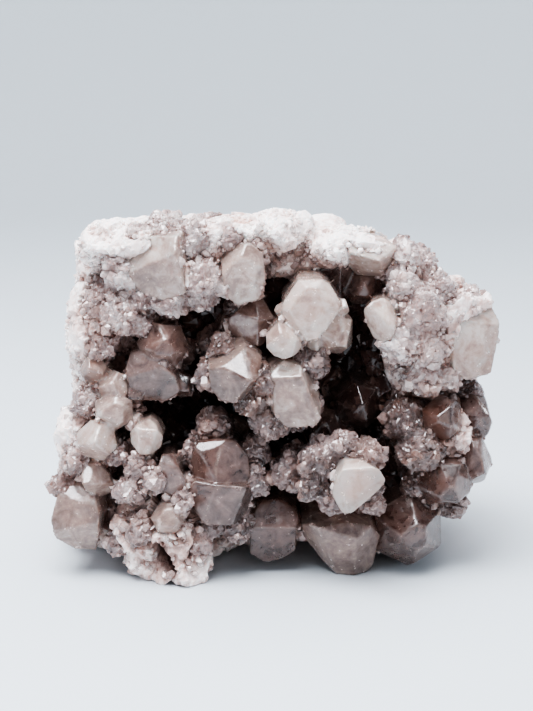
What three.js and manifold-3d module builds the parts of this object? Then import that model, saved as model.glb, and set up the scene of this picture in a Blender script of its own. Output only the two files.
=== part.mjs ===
// A quartz cluster: a block of pale matrix whose hollow front is full of stout milky crystals. The
// matrix and its crystals grew as one piece. The crust that lines the hollow is a second one.
// Millimetres, +Z up, +Y to the back. The origin is under the middle of the block, on the table.

import * as THREE from "three";
import { ImprovedNoise } from "three/addons/math/ImprovedNoise.js";
import { mergeVertices } from "three/addons/utils/BufferGeometryUtils.js";
import Module from "manifold-3d";

const wasm = await Module();
wasm.setup();

// Driving dimensions
const GAP = 0.35; // left between the crust and the rest
const BACK = 44; // from the middle of the block to its back
const RHOMB = THREE.MathUtils.degToRad(51.8); // a quartz tip's face, from the crystal's axis to its normal
const TAPER = THREE.MathUtils.degToRad(2.5); // a quartz prism narrows this much towards its tip
const CRUST_EDGE = 8; // how far out the crust of the hollow ends
const LONG = 200; // longer than the object in any direction
const UP = new THREE.Vector3(0, 0, 1);
const DOWN = new THREE.Vector3(0, 0, -1);

// Places are read off a picture of the object's front: pixels across and down, and how far out
// towards the viewer the thing stands, in millimetres from the block's middle plane.
const PICTURE = { width: 533, height: 711, focal: 1300 };
const PITCH = THREE.MathUtils.degToRad(12);
const EYE = new THREE.Vector3(-1.15, -423.9, 157.7);

function seen([across, down], out) {
  const right = (across - PICTURE.width / 2) / PICTURE.focal;
  const up = (PICTURE.height / 2 - down) / PICTURE.focal;
  const ray = new THREE.Vector3(right, 1, 0);
  ray.y = Math.cos(PITCH) + Math.sin(PITCH) * up;
  ray.z = Math.cos(PITCH) * up - Math.sin(PITCH);
  return EYE.clone().addScaledVector(ray, (-out - EYE.y) / ray.y);
}

// Seeded random numbers, the same on every run
function dice(seed) {
  let state = seed * 2654435761;
  return (low = 0, high = 1) => {
    state = (state + 0x6d2b79f5) | 0;
    let mixed = Math.imul(state ^ (state >>> 15), 1 | state);
    mixed = (mixed + Math.imul(mixed ^ (mixed >>> 7), 61 | mixed)) ^ mixed;
    return low + ((((mixed ^ (mixed >>> 14)) >>> 0) / 4294967296) * (high - low));
  };
}

// Solids

function solidOf(geometry) {
  const bare = geometry.clone();
  for (const name of Object.keys(bare.attributes)) {
    if (name !== "position") bare.deleteAttribute(name);
  }
  const merged = mergeVertices(bare, 1e-4);
  return new wasm.Manifold(
    new wasm.Mesh({
      numProp: 3,
      vertProperties: merged.attributes.position.array,
      triVerts: new Uint32Array(merged.index.array),
    }),
  );
}

function geometryOf(solid) {
  const mesh = solid.getMesh();
  const places = new Float32Array(mesh.numVert * 3);
  for (let i = 0; i < mesh.numVert; i++) {
    places.set(mesh.vertProperties.subarray(i * mesh.numProp, i * mesh.numProp + 3), i * 3);
  }
  const geometry = new THREE.BufferGeometry();
  geometry.setAttribute("position", new THREE.BufferAttribute(places, 3));
  geometry.setIndex(new THREE.BufferAttribute(mesh.triVerts, 1));
  geometry.computeVertexNormals();
  return geometry;
}

// Keeps the side of a plane that its normal points away from
function cut(solid, normal, distance) {
  return solid.trimByPlane([-normal.x, -normal.y, -normal.z], -distance);
}

function largest(solid) {
  return solid.decompose().sort((a, b) => b.volume() - a.volume())[0];
}

// One crystal: a six-sided prism under a six-faced tip. Seen from its own tip, its first face looks
// spin degrees round from the right. faces picks the tip: six faces, or the three broad ones of
// many quartz points. blunt cuts the tip off at that share of its height.
function crystal(form, grow) {
  const { at, out, across, point = [0, 0, 1], spin = 0, faces = "six", seed = at[0] } = form;
  const { body = across, blunt = 1, stretch = [1, 1] } = form;
  const roll = dice(seed + at[1]);
  const radius = (across / 2) * Math.cos(Math.PI / 6);
  const starts = {
    six: [0, 0.12, -0.08, 0.1, -0.05, 0.15],
    three: [0, null, 0.05, null, -0.05, null],
  }[faces];
  let solid = solidOf(new THREE.BoxGeometry(LONG, LONG, LONG));
  for (let i = 0; i < 6; i++) {
    const angle = THREE.MathUtils.degToRad(spin) + (i * Math.PI) / 3;
    const flank = radius * roll(0.94, 1.06);
    const side = new THREE.Vector3(Math.cos(angle), Math.sin(angle), Math.tan(TAPER)).normalize();
    solid = cut(solid, side, flank * Math.cos(TAPER) + grow);
    if (starts[i] === null) continue;
    const tilt = new THREE.Vector3(Math.cos(angle) * Math.sin(RHOMB), Math.sin(angle) * Math.sin(RHOMB));
    tilt.z = Math.cos(RHOMB);
    const start = radius * (starts[i] + roll(-0.06, 0.06));
    solid = cut(solid, tilt, flank * Math.sin(RHOMB) + start * Math.cos(RHOMB) + grow);
  }
  solid = cut(solid, UP, radius * Math.tan(RHOMB) * blunt + grow);
  solid = cut(solid, DOWN, body + grow);
  const w = new THREE.Vector3(point[0], -point[2], point[1]).normalize();
  const u = UP.clone().cross(w).normalize();
  const v = w.clone().cross(u);
  const placed = new THREE.Matrix4().makeBasis(u, v, w).scale(new THREE.Vector3(...stretch, 1));
  placed.setPosition(seen(at, out));
  return solid.transform(placed.elements);
}

// A crystal as the picture shows it: rim is its outline, out that far towards the viewer, drawn back
// along its axis, and each of its tip faces is a plane through three places, as [across, down, out]
function faceted(form, grow) {
  const { rim, out, tips, point = [0, 0, 1], body } = form;
  const axis = new THREE.Vector3(point[0], -point[2], point[1]).normalize();
  const corners = rim.map((spot) => seen(spot, out));
  const middle = new THREE.Vector3();
  for (const corner of corners) middle.addScaledVector(corner, 1 / corners.length);
  middle.addScaledVector(axis, -body / 2);
  let solid = solidOf(new THREE.BoxGeometry(LONG, LONG, LONG)).translate(middle.toArray());
  const slice = (a, b, c) => {
    const plane = new THREE.Plane().setFromCoplanarPoints(a, b, c);
    if (plane.distanceToPoint(middle) > 0) plane.negate();
    solid = cut(solid, plane.normal, -plane.constant + grow);
  };
  corners.forEach((corner, i) => {
    const next = corners[(i + 1) % corners.length];
    slice(corner, next, corner.clone().addScaledVector(axis, LONG));
  });
  for (const face of tips) {
    slice(...face.map(([across, down, near]) => seen([across, down], near)));
  }
  const back = middle.clone().addScaledVector(axis, -body / 2);
  return cut(solid, axis.clone().negate(), grow - axis.dot(back));
}

// A rough lump of matrix: a ball with its sides pushed in and out by noise
const LUMP = { detail: 1, swell: 0.26, swellPitch: 1.7, dent: 0.14, dentPitch: 4.1 };

function lump({ at, out, size, seed, turn = 0 }, grow) {
  const noise = new ImprovedNoise();
  const ball = new THREE.IcosahedronGeometry(1, LUMP.detail);
  const place = ball.attributes.position;
  const point = new THREE.Vector3();
  for (let i = 0; i < place.count; i++) {
    point.fromBufferAttribute(place, i);
    const wide = point.clone().multiplyScalar(LUMP.swellPitch);
    const close = point.clone().multiplyScalar(LUMP.dentPitch);
    const swell = LUMP.swell * noise.noise(wide.x + seed, wide.y, wide.z);
    const dent = LUMP.dent * noise.noise(close.x, close.y + seed, close.z);
    point.multiplyScalar(1 + swell + dent);
    place.setXYZ(i, (point.x * size[0]) / 2, (point.y * size[1]) / 2, (point.z * size[2]) / 2);
  }
  const middle = seen(at, out);
  const wider = new THREE.Vector3(...size).addScalar(2 * grow).divide(new THREE.Vector3(...size));
  ball.scale(wider.x, wider.y, wider.z);
  ball.rotateY(THREE.MathUtils.degToRad(turn));
  ball.translate(middle.x, middle.y, middle.z);
  return solidOf(ball);
}

// A closed body from front to back: an outline read off the picture, drawn in or let out at each
// station, with noise for its lumps and ledges. A station is [out, share of the outline, lift].
const LUMPS = { pitch: 16, height: 1.5 };
const LEDGES = { pitch: 6.5, height: 1 };

function loft({ outline, centre, stations, segments, rough, seed }, grow) {
  const noise = new ImprovedNoise();
  const curve = new THREE.CatmullRomCurve3(
    outline.map((spot) => seen(spot, 0)),
    true,
    "centripetal",
  );
  const middle = seen(centre, 0);
  const around = curve.getSpacedPoints(segments).slice(0, segments);
  const places = [];
  const push = (point, outward, y) => {
    const wide = noise.noise(point.x / LUMPS.pitch + seed, y / LUMPS.pitch, point.z / LUMPS.pitch);
    const close = noise.noise(point.x / LEDGES.pitch, y / LEDGES.pitch + seed, point.z / LEDGES.pitch);
    const swell = LUMPS.height * wide + LEDGES.height * close;
    return point.addScaledVector(outward, rough * swell + grow);
  };
  for (const [out, share, lift = 0] of stations) {
    for (const spot of around) {
      const outward = spot.clone().sub(middle);
      const point = middle.clone().addScaledVector(outward, share);
      point.y = -out;
      point.z += lift;
      outward.y = 0;
      push(point, outward.normalize(), -out);
      places.push(point.x, point.y, point.z);
    }
  }
  const first = middle.clone().setY(-stations[0][0] - 1 - grow);
  const last = middle.clone().setY(-stations.at(-1)[0] + 1 + grow);
  places.push(...first.toArray(), ...last.toArray());
  const rings = stations.length;
  const triangles = [];
  for (let s = 0; s < segments; s++) {
    const next = (s + 1) % segments;
    for (let r = 0; r < rings - 1; r++) {
      const [a, b] = [r * segments + s, r * segments + next];
      const [c, d] = [a + segments, b + segments];
      triangles.push(a, b, c, b, d, c);
    }
    triangles.push(rings * segments, next, s);
    triangles.push(rings * segments + 1, (rings - 1) * segments + s, (rings - 1) * segments + next);
  }
  const geometry = new THREE.BufferGeometry();
  geometry.setAttribute("position", new THREE.Float32BufferAttribute(places, 3));
  geometry.setIndex(triangles);
  return solidOf(geometry);
}

// The matrix: a rounded block, a foot and a right shoulder, with the hollow cut into its front

const BLOCK = {
  outline: [
    [75, 243], [100, 222], [150, 216], [205, 213], [250, 219], [275, 214], [290, 222], [330, 228],
    [390, 245], [430, 268], [470, 295], [480, 330], [472, 375], [478, 420], [478, 470], [440, 505],
    [400, 530], [330, 535], [270, 535], [215, 545], [140, 550], [75, 535], [60, 495], [68, 430],
    [76, 380], [76, 330], [78, 285],
  ],
  centre: [275, 385],
  segments: 36,
  rough: 1.3,
  seed: 3,
};

const HOLLOW = {
  outline: [
    [118, 380], [150, 325], [190, 298], [262, 266], [345, 264], [392, 280], [384, 325], [396, 375],
    [394, 430], [408, 480], [400, 528], [330, 532], [262, 528], [238, 505], [190, 482], [165, 445],
    [128, 440],
  ],
  centre: [280, 400],
  segments: 20,
  rough: 1.2,
  seed: 8,
};

function matrix(grow) {
  const block = [
    [17, 0.78], [14, 0.91], [7, 0.98], [-4, 1, -1], [-15, 1, -4], [-26, 0.97, -8], [5 - BACK, 0.86, -10],
    [-BACK, 0.6, -11],
  ];
  const hollow = [[70, 1.2], [30, 1.04], [16, 1], [5, 0.92], [-6, 0.8], [-17, 0.6], [-24, 0.34]];
  const outer = loft({ ...BLOCK, stations: block }, grow);
  const lumps = MATRIX_LUMPS.map((form) => lump(form, grow));
  const inner = loft({ ...HOLLOW, stations: hollow }, -grow);
  return wasm.Manifold.union([outer.subtract(inner), ...lumps]);
}

const MATRIX_LUMPS = [
  { at: [165, 530], out: 22, size: [32, 30, 27], seed: 11 },
  { at: [182, 565], out: 28, size: [19, 18, 19], seed: 12 },
  { at: [150, 556], out: 24, size: [16, 16, 15], seed: 13, turn: 30 },
  { at: [92, 330], out: 14, size: [17, 26, 34], seed: 14 },
  { at: [92, 440], out: 15, size: [22, 28, 30], seed: 15 },
  { at: [128, 244], out: 16, size: [34, 26, 16], seed: 16 },
  { at: [225, 238], out: 14, size: [34, 26, 15], seed: 17 },
  { at: [275, 230], out: 12, size: [24, 30, 13], seed: 18 },
  { at: [345, 246], out: 12, size: [32, 30, 12], seed: 19 },
  { at: [438, 312], out: 12, size: [34, 28, 26], seed: 20 },
  { at: [435, 430], out: 12, size: [28, 28, 32], seed: 21 },
];

// The crust that lines the hollow: a thin skin of matrix and the small crystals standing on it

const LINING = {
  count: 8,
  step: 2.399963, // radians from one crystal to the next, so that they spread evenly
  share: [0.25, 0.8], // of the way from the hollow's centre to its rim
  reach: [118, 120], // the hollow's half width and half height in the picture
  out: [-18, 26], // how far out in the middle of the back, and how much further at the rim
  across: [8, 13],
  body: 10,
};

function crust(grow) {
  const front = [[30, 1.04], [16, 1], [5, 0.92], [-6, 0.8], [-17, 0.6], [-24, 0.34]];
  const inner = [[40, 0.86], [5, 0.82], [-6, 0.7], [-14, 0.5], [-19, 0.26]];
  const whole = loft({ ...HOLLOW, stations: front }, grow - 1.5 * GAP).translate([0, -1.5 * GAP, 0]);
  const skin = cut(whole, new THREE.Vector3(0, -1, 0), CRUST_EDGE);
  const shell = skin.subtract(loft({ ...HOLLOW, stations: inner }, -grow));
  const roll = dice(41);
  const lining = [];
  for (let i = 0; i < LINING.count; i++) {
    const angle = i * LINING.step;
    const share = THREE.MathUtils.lerp(...LINING.share, Math.sqrt((i + 0.5) / LINING.count));
    const at = [
      HOLLOW.centre[0] + Math.cos(angle) * share * LINING.reach[0],
      HOLLOW.centre[1] + Math.sin(angle) * share * LINING.reach[1],
    ];
    const out = LINING.out[0] + LINING.out[1] * share * share;
    const point = [-Math.cos(angle) * share, Math.sin(angle) * share, 0.9];
    const across = roll(...LINING.across);
    const form = { at, out, across, point, spin: roll(0, 60), faces: "three", seed: i, body: LINING.body };
    lining.push(crystal(form, grow).intersect(skin));
  }
  return wasm.Manifold.union([shell, ...lining]);
}

// The crystals, clump by clump

const CLUMPS = {
  wall_crystals: [
    { at: [121, 317], out: 25, across: 13.5, point: [0.3, -0.8, 1], spin: 18, faces: "three", body: 14 },
    { at: [96, 306], out: 23, across: 11, point: [-0.2, -0.4, 1], spin: 33, faces: "three", body: 12 },
    { at: [142, 328], out: 22, across: 9, point: [0.35, -0.6, 1], spin: 5, faces: "three", body: 14 },
    { at: [101, 345], out: 24, across: 12, point: [-0.1, -0.4, 1], spin: 44, faces: "three", body: 14 },
    { at: [115, 386], out: 26, across: 11, point: [-0.1, 0.35, 1], spin: 8, faces: "three", body: 16 },
    { at: [114, 411], out: 29, across: 13, point: [0.05, 0.05, 1], spin: 0, blunt: 0.5, body: 18 },
    { at: [93, 369], out: 26, across: 9, point: [-0.1, 0.2, 1], spin: 40, faces: "three", body: 14 },
    { at: [133, 408], out: 20, across: 8, point: [0.5, 0, 1], spin: 20, faces: "three", body: 20 },
    { at: [87, 402], out: 24, across: 12, point: [-0.4, 0.1, 1], spin: 25, faces: "three", body: 12 },
    { at: [212, 226], out: 16, across: 10, point: [0.1, 0.2, 1], spin: 20, blunt: 0.6, body: 10 },
    { at: [284, 252], out: 15, across: 8, point: [0.1, -0.4, 1], spin: 20, faces: "three", body: 10 },
    { at: [200, 545], out: 32, across: 11, point: [0.3, -0.2, 1], spin: 15, blunt: 0.5, body: 12 },
    { at: [140, 530], out: 33, across: 12, point: [-0.1, 0.1, 1], spin: 40, blunt: 0.5, body: 12 },
    { at: [168, 518], out: 35, across: 11, point: [0.1, 0.2, 1], spin: 25, blunt: 0.5, body: 12 },
    { at: [118, 545], out: 26, across: 11, point: [-0.3, -0.3, 1], spin: 10, blunt: 0.6, body: 12 },
  ],
  front_crystals: [
    {
      rim: [
        [337, 461], [350, 459], [362, 460], [378, 468], [387, 482], [380, 488], [371, 503], [362, 512],
        [342, 512], [336, 503], [328, 484], [335, 474],
      ],
      out: 41,
      tips: [
        [[343, 470, 45], [376, 477, 44.5], [352, 505, 44]],
        [[338, 462, 42], [362, 461, 42], [350, 469, 44.8]],
        [[386, 482, 42], [372, 502, 41], [364, 490, 44.4]],
        [[330, 484, 42], [340, 510, 42], [342, 488, 44.6]],
      ],
      point: [0.12, 0.1, 1],
      body: 30,
    },
    { at: [344, 449], out: 34, across: 12, point: [0.1, 0.4, 1], spin: 15, faces: "three" },
    { at: [371, 455], out: 33, across: 11, point: [0.35, 0.35, 1], spin: 40, faces: "three" },
    { at: [317, 463], out: 36, across: 12, point: [-0.3, 0.15, 1], spin: 5, blunt: 0.6 },
    { at: [314, 489], out: 36, across: 10.5, point: [-0.3, -0.3, 1], spin: 45, faces: "three" },
    { at: [332, 503], out: 36, across: 9, point: [0, -0.6, 1], spin: 25, faces: "three" },
    { at: [291, 474], out: 27, across: 14, point: [-0.25, 0, 1], spin: 15, faces: "three" },
    { at: [372, 500], out: 28, across: 12, point: [0.6, -0.2, 1], spin: 10, faces: "three" },
    { at: [322, 448], out: 30, across: 10, point: [-0.1, 0.5, 1], spin: 30, faces: "three" },
  ],
  heart_crystals: [
    {
      rim: [
        [240, 343], [262, 358], [261, 375], [249, 395], [237, 400], [219, 399], [210, 385], [208, 362],
        [218, 350],
      ],
      out: 30,
      tips: [
        [[222, 367, 34], [251, 381, 37], [243, 350, 29.5]],
        [[222, 367, 34], [251, 381, 37], [228, 400, 33]],
        [[243, 350, 29.5], [251, 381, 37], [262, 362, 30]],
        [[222, 367, 34], [243, 350, 29.5], [211, 362, 29]],
        [[251, 381, 37], [259, 384, 31], [241, 399, 32]],
      ],
      point: [0, -0.1, 1],
      body: 44,
    },
    {
      rim: [
        [268, 373], [284, 361], [300, 364], [310, 372], [321, 398], [322, 408], [316, 420], [300, 424],
        [285, 425], [272, 412], [265, 392],
      ],
      out: 31,
      tips: [
        [[272, 379, 34.5], [302, 377, 36.5], [285, 362, 31]],
        [[272, 379, 34.5], [302, 377, 36.5], [295, 424, 34]],
        [[302, 377, 36.5], [317, 404, 33.5], [303, 366, 32]],
        [[272, 379, 34.5], [266, 392, 30], [276, 414, 33.5]],
      ],
      point: [0.05, -0.1, 1],
      body: 46,
    },
    { at: [314, 362], out: 28, across: 11.5, point: [0.3, 0.1, 1], spin: 12, faces: "three" },
    { at: [206, 376], out: 27, across: 9.5, point: [-0.6, -0.1, 1], spin: 22, faces: "three" },
    { at: [222, 350], out: 24, across: 11, point: [-0.4, 0.4, 1], spin: 40, faces: "three" },
    { at: [264, 384], out: 33.5, across: 8, point: [0, -0.1, 1], spin: 15, faces: "three" },
    { at: [252, 404], out: 29, across: 12, point: [-0.3, -0.5, 1], spin: 5, faces: "three" },
    { at: [270, 422], out: 28, across: 15, point: [0, -0.7, 1], spin: 33 },
    { at: [291, 422], out: 27, across: 10, point: [0.3, -0.7, 1], spin: 50, faces: "three" },
    { at: [312, 408], out: 28, across: 10, point: [0.6, -0.3, 1], spin: 20, faces: "three" },
  ],
  cream_crystals: [
    {
      rim: [
        [299, 280], [322, 280], [330, 285], [341, 303], [337, 313], [318, 337], [303, 340], [297, 336],
        [281, 312], [283, 303],
      ],
      out: 32,
      tips: [
        [[300, 289, 35.5], [324, 290, 35.2], [310, 337, 34.5]],
        [[299, 280.5, 32], [322, 280.5, 32], [310, 287.5, 35.5]],
        [[283, 303, 32], [298, 281, 32], [296, 302, 35.4]],
        [[322, 281, 32], [340, 302, 32.4], [326, 296, 35.1]],
        [[282, 312, 32.5], [298, 336, 32.5], [293, 316, 35.2]],
      ],
      point: [0, -0.05, 1],
      body: 52,
    },
    { at: [335, 334], out: 26, across: 15, point: [0.45, -0.35, 1], spin: 10 },
    { at: [317, 345], out: 27, across: 8, point: [0.1, -0.7, 1], spin: 40, faces: "three" },
    { at: [283, 311], out: 28, across: 6, point: [-0.5, 0, 1], spin: 0, faces: "three" },
    { at: [342, 307], out: 27, across: 6, point: [0.7, 0.2, 1], spin: 20, faces: "three" },
  ],
  drop_crystal: [
    {
      rim: [
        [279, 322], [290, 328], [300, 339], [302, 348], [296, 355], [284, 358], [274, 355], [267, 347],
        [266, 337], [272, 329],
      ],
      out: 34,
      tips: [
        [[275, 334, 37], [293, 339, 37], [283, 355, 36]],
        [[279, 323, 34], [292, 330, 34], [283, 334, 37]],
        [[267, 338, 34.5], [276, 326, 34], [276, 338, 37]],
        [[301, 341, 34.5], [297, 355, 34], [294, 345, 36.8]],
      ],
      body: 30,
    },
  ],
  brown_crystals: [
    {
      rim: [
        [242, 305], [252, 299], [263, 300], [275, 318], [273, 335], [262, 345], [245, 343], [230, 333],
        [228, 318],
      ],
      out: 20,
      tips: [
        [[251, 300, 21], [274, 318, 21], [258, 320, 25]],
        [[258, 320, 25], [238, 314, 23], [252, 343, 23]],
        [[258, 320, 25], [273, 320, 21], [264, 342, 22]],
        [[258, 320, 25], [238, 314, 23], [248, 301, 20]],
      ],
      body: 40,
    },
    { at: [228, 328], out: 15, across: 11, point: [-0.4, 0.1, 1], spin: 30, faces: "three", body: 26 },
    { at: [211, 343], out: 12, across: 11, point: [-0.3, 0.1, 1], spin: 5, faces: "three", body: 26 },
    { at: [236, 307], out: 14, across: 9, point: [-0.2, 0.2, 1], spin: 25, faces: "three", body: 26 },
  ],
  crown_crystals: [
    {
      rim: [
        [122, 243], [137, 238], [181, 231], [196, 240], [197, 264], [188, 288], [166, 298], [146, 293],
        [128, 277], [120, 262],
      ],
      out: 24,
      tips: [
        [[131, 272, 28], [176, 253, 33], [141, 239, 24]],
        [[131, 272, 28], [176, 253, 33], [165, 297, 28]],
        [[176, 253, 33], [181, 232, 27], [188, 288, 27.5]],
        [[131, 272, 28], [139, 240, 25], [121, 255, 23]],
      ],
      point: [0, -0.1, 1],
      body: 16,
    },
    { at: [204, 279], out: 27, across: 12, point: [0.15, -0.2, 1], spin: 40, faces: "three" },
    { at: [196, 238], out: 22, across: 13, point: [0.35, 0.3, 1], spin: 50, faces: "three" },
    { at: [164, 232], out: 19, across: 15, point: [0, 0.25, 1], spin: 30, blunt: 0.5 },
    { at: [121, 277], out: 25, across: 11, point: [-0.2, -0.25, 1], spin: 12, faces: "three" },
    { at: [113, 262], out: 25, across: 8.5, point: [-0.3, 0.1, 1], spin: 50, faces: "three" },
    { at: [136, 238], out: 23, across: 9, point: [-0.15, 0.2, 1], spin: 30, faces: "three" },
    { at: [171, 302], out: 24, across: 13, point: [0.1, -0.6, 1], spin: 5 },
    { at: [203, 296], out: 22, across: 11.5, point: [0.2, -0.8, 1], spin: 35, faces: "three" },
    { at: [142, 300], out: 24, across: 9, point: [-0.2, -0.6, 1], spin: 25, faces: "three" },
  ],
  crown_point: [
    {
      rim: [
        [220, 253], [232, 242], [250, 243], [263, 252], [265, 278], [259, 298], [238, 304], [227, 296],
        [222, 275],
      ],
      out: 26,
      tips: [
        [[238, 264, 31.5], [246, 244, 28], [224, 273, 29.5]],
        [[238, 264, 31.5], [246, 244, 28], [263, 267, 29.5]],
        [[225, 273, 29.5], [263, 267, 29.5], [244, 303, 28]],
      ],
      point: [0.05, -0.1, 1],
      body: 18,
    },
    { at: [226, 291], out: 27, across: 6.5, point: [-0.3, -0.5, 1], spin: 10, faces: "three" },
    { at: [258, 250], out: 23, across: 8.5, point: [0.3, 0.4, 1], spin: 25, faces: "three" },
    { at: [230, 239], out: 23, across: 10, point: [-0.1, 0.6, 1], spin: 45, faces: "three" },
  ],
  lid_crystals: [
    {
      rim: [
        [345, 236], [360, 233], [384, 237], [397, 247], [394, 262], [380, 276], [358, 276], [345, 262],
      ],
      out: 18,
      tips: [
        [[352, 253, 27], [380, 261, 27], [365, 231, 16]],
        [[352, 253, 27], [380, 261, 27], [366, 275, 18]],
        [[380, 261, 27], [397, 248, 20], [392, 262, 18]],
      ],
      point: [0.1, 0, 1],
      body: 20,
    },
    { at: [408, 258], out: 20, across: 8.5, point: [0.3, -0.3, 1], spin: 20, faces: "three" },
    { at: [425, 262], out: 17, across: 8.5, point: [0.4, -0.2, 1], spin: 45, faces: "three" },
    { at: [388, 270], out: 16, across: 9, point: [0, -0.6, 1], spin: 10, faces: "three" },
  ],
  inner_lid_crystals: [
    {
      rim: [
        [310, 262], [322, 256], [338, 254], [350, 262], [355, 278], [350, 292], [340, 299], [325, 298],
        [312, 285],
      ],
      out: 13,
      tips: [
        [[311, 271, 16], [341, 268, 19], [330, 255, 14]],
        [[311, 271, 16], [341, 268, 19], [335, 298, 15]],
        [[341, 268, 19], [352, 270, 15], [346, 294, 14]],
      ],
      point: [0.05, -0.35, 1],
      body: 30,
    },
    { at: [364, 288], out: 15, across: 13, point: [-0.2, -0.1, 1], spin: 25, blunt: 0.7, body: 30 },
  ],
  left_crystals: [
    {
      rim: [
        [130, 353], [142, 350], [158, 356], [176, 372], [181, 390], [166, 401], [141, 399], [130, 388],
        [126, 366],
      ],
      out: 25,
      tips: [
        [[138, 379, 29.5], [160, 367, 29.5], [155, 400, 27.5]],
        [[138, 379, 29.5], [160, 367, 29.5], [134, 352, 25]],
        [[160, 367, 29.5], [176, 380, 28], [168, 398, 26]],
      ],
      point: [0, -0.15, 1],
      body: 30,
    },
    { at: [163, 346], out: 24, across: 16.5, point: [0.1, 0.05, 1], spin: 22, blunt: 0.7 },
    { at: [184, 350], out: 16, across: 10, point: [0.4, 0.1, 1], spin: 10, faces: "three" },
    { at: [182, 386], out: 21, across: 9, point: [0.6, -0.2, 1], spin: 10, faces: "three" },
    { at: [135, 392], out: 25, across: 8, point: [-0.4, -0.4, 1], spin: 40, faces: "three" },
  ],
  stemmed_crystal: [
    {
      rim: [
        [137, 424], [149, 421], [157, 426], [163, 436], [161, 448], [152, 453], [140, 452], [131, 444],
        [130, 432],
      ],
      out: 31,
      tips: [
        [[140, 431, 34], [154, 431, 34], [147, 448, 33.5]],
        [[138, 424, 31.5], [155, 425, 31.5], [147, 430, 34]],
        [[131, 432, 31.5], [132, 444, 31.5], [139, 440, 33.9]],
        [[162, 438, 31.5], [155, 451, 31.5], [153, 441, 33.8]],
      ],
      body: 12,
    },
    { at: [146, 452], out: 27, across: 6, point: [0.1, 0.1, 1], spin: 20, faces: "three", body: 44 },
  ],
  corner_crystals: [
    {
      rim: [
        [60, 487], [80, 482], [97, 492], [103, 508], [101, 530], [96, 550], [75, 548], [58, 535],
        [54, 515],
      ],
      out: 25,
      tips: [
        [[60, 500, 28], [100, 505, 30], [80, 529, 30.5]],
        [[58, 531, 29.5], [101, 527, 30.5], [80, 551, 25]],
        [[60, 500, 28], [100, 505, 30], [80, 484, 25]],
      ],
      point: [-0.1, -0.05, 1],
      body: 18,
    },
    {
      rim: [[86, 461], [98, 459], [110, 472], [118, 490], [101, 498], [88, 488], [82, 472]],
      out: 26,
      tips: [
        [[86, 463, 28], [97, 461, 28], [92, 474, 31]],
        [[97, 461, 28], [92, 474, 31], [110, 483, 30]],
        [[92, 488, 30.5], [111, 484, 30], [102, 498, 24]],
      ],
      point: [0.05, 0, 1],
      body: 16,
    },
    { at: [97, 440], out: 30, across: 13.5, point: [0, 0.12, 1], spin: 14, faces: "three" },
    { at: [119, 454], out: 26, across: 9.5, point: [0.4, -0.05, 1], spin: 5, faces: "three" },
    { at: [76, 460], out: 26, across: 11, point: [-0.4, 0.1, 1], spin: 50, faces: "three" },
    { at: [63, 486], out: 23, across: 10, point: [-0.7, 0.1, 1], spin: 12, faces: "three" },
  ],
  foot_crystals: [
    {
      rim: [[162, 454], [173, 454], [182, 470], [187, 480], [178, 495], [163, 492], [157, 470]],
      out: 31,
      tips: [
        [[161, 462, 34], [179, 474, 34], [168, 492, 33.5]],
        [[161, 462, 34], [176, 466, 33.5], [168, 454, 31]],
      ],
      point: [0, 0.1, 1],
      body: 20,
    },
    { at: [154, 482], out: 35.5, across: 7.5, point: [-0.1, 0.2, 1], spin: 0, faces: "three" },
    { at: [139, 468], out: 31, across: 10, point: [-0.2, 0.4, 1], spin: 40, faces: "three" },
    { at: [184, 503], out: 36.5, across: 7, point: [0.2, 0.05, 1], spin: 20, blunt: 0.6 },
    { at: [127, 490], out: 32, across: 10, point: [-0.4, 0.2, 1], spin: 10, faces: "three" },
  ],
  twin_crystals: [
    {
      rim: [
        [197, 441], [222, 438], [236, 441], [249, 456], [250, 476], [234, 483], [195, 480], [190, 462],
      ],
      out: 27,
      tips: [
        [[200, 452, 31], [221, 445, 30.5], [215, 478, 34]],
        [[221, 445, 30.5], [215, 478, 34], [249, 462, 28.5]],
        [[200, 452, 31], [215, 478, 34], [191, 470, 28.5]],
        [[200, 452, 31], [221, 445, 30.5], [210, 440, 28.5]],
      ],
      point: [0, 0.1, 1],
      body: 44,
    },
    {
      rim: [
        [197, 476], [222, 479], [248, 480], [254, 492], [248, 510], [238, 520], [208, 520], [196, 508],
        [187, 487],
      ],
      out: 30,
      tips: [
        [[208, 484, 36], [244, 488, 35], [220, 518, 35]],
        [[198, 477, 33], [188, 487, 32], [207, 510, 35.5]],
        [[198, 477, 33], [240, 480, 33.5], [222, 485, 36]],
        [[253, 492, 31], [240, 519, 32], [240, 503, 35]],
      ],
      point: [0, -0.05, 1],
      body: 44,
    },
    { at: [235, 525], out: 28, across: 13, point: [0.1, -0.8, 1], spin: 30 },
    { at: [211, 524], out: 29, across: 10, point: [-0.3, -0.8, 1], spin: 12, faces: "three" },
    { at: [254, 482], out: 27, across: 12, point: [0.55, -0.1, 1], spin: 25, faces: "three" },
    { at: [258, 452], out: 23, across: 9.5, point: [0.3, 0.1, 1], spin: 5, faces: "three" },
    { at: [214, 424], out: 22, across: 12, point: [0, 0.3, 1], spin: 35, faces: "three" },
    { at: [193, 450], out: 23, across: 9, point: [-0.6, 0, 1], spin: 35, faces: "three" },
  ],
  hanging_crystal: [
    {
      rim: [
        [301, 520], [310, 513], [345, 510], [369, 514], [379, 530], [376, 548], [373, 564], [358, 581],
        [338, 578], [320, 556], [304, 542],
      ],
      out: 22,
      tips: [
        [[318, 528, 30], [356, 540, 31], [346, 577, 25]],
        [[302, 524, 25], [318, 528, 30], [336, 576, 24]],
        [[356, 540, 31], [375, 545, 25], [360, 578, 24]],
        [[318, 528, 30], [356, 540, 31], [345, 512, 27]],
      ],
      point: [0.05, -0.3, 1],
      body: 30,
    },
  ],
  dome_crystal: [
    {
      rim: [
        [249, 510], [262, 498], [280, 496], [296, 505], [302, 525], [299, 541], [284, 553], [266, 558],
        [250, 548],
      ],
      out: 20,
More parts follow.
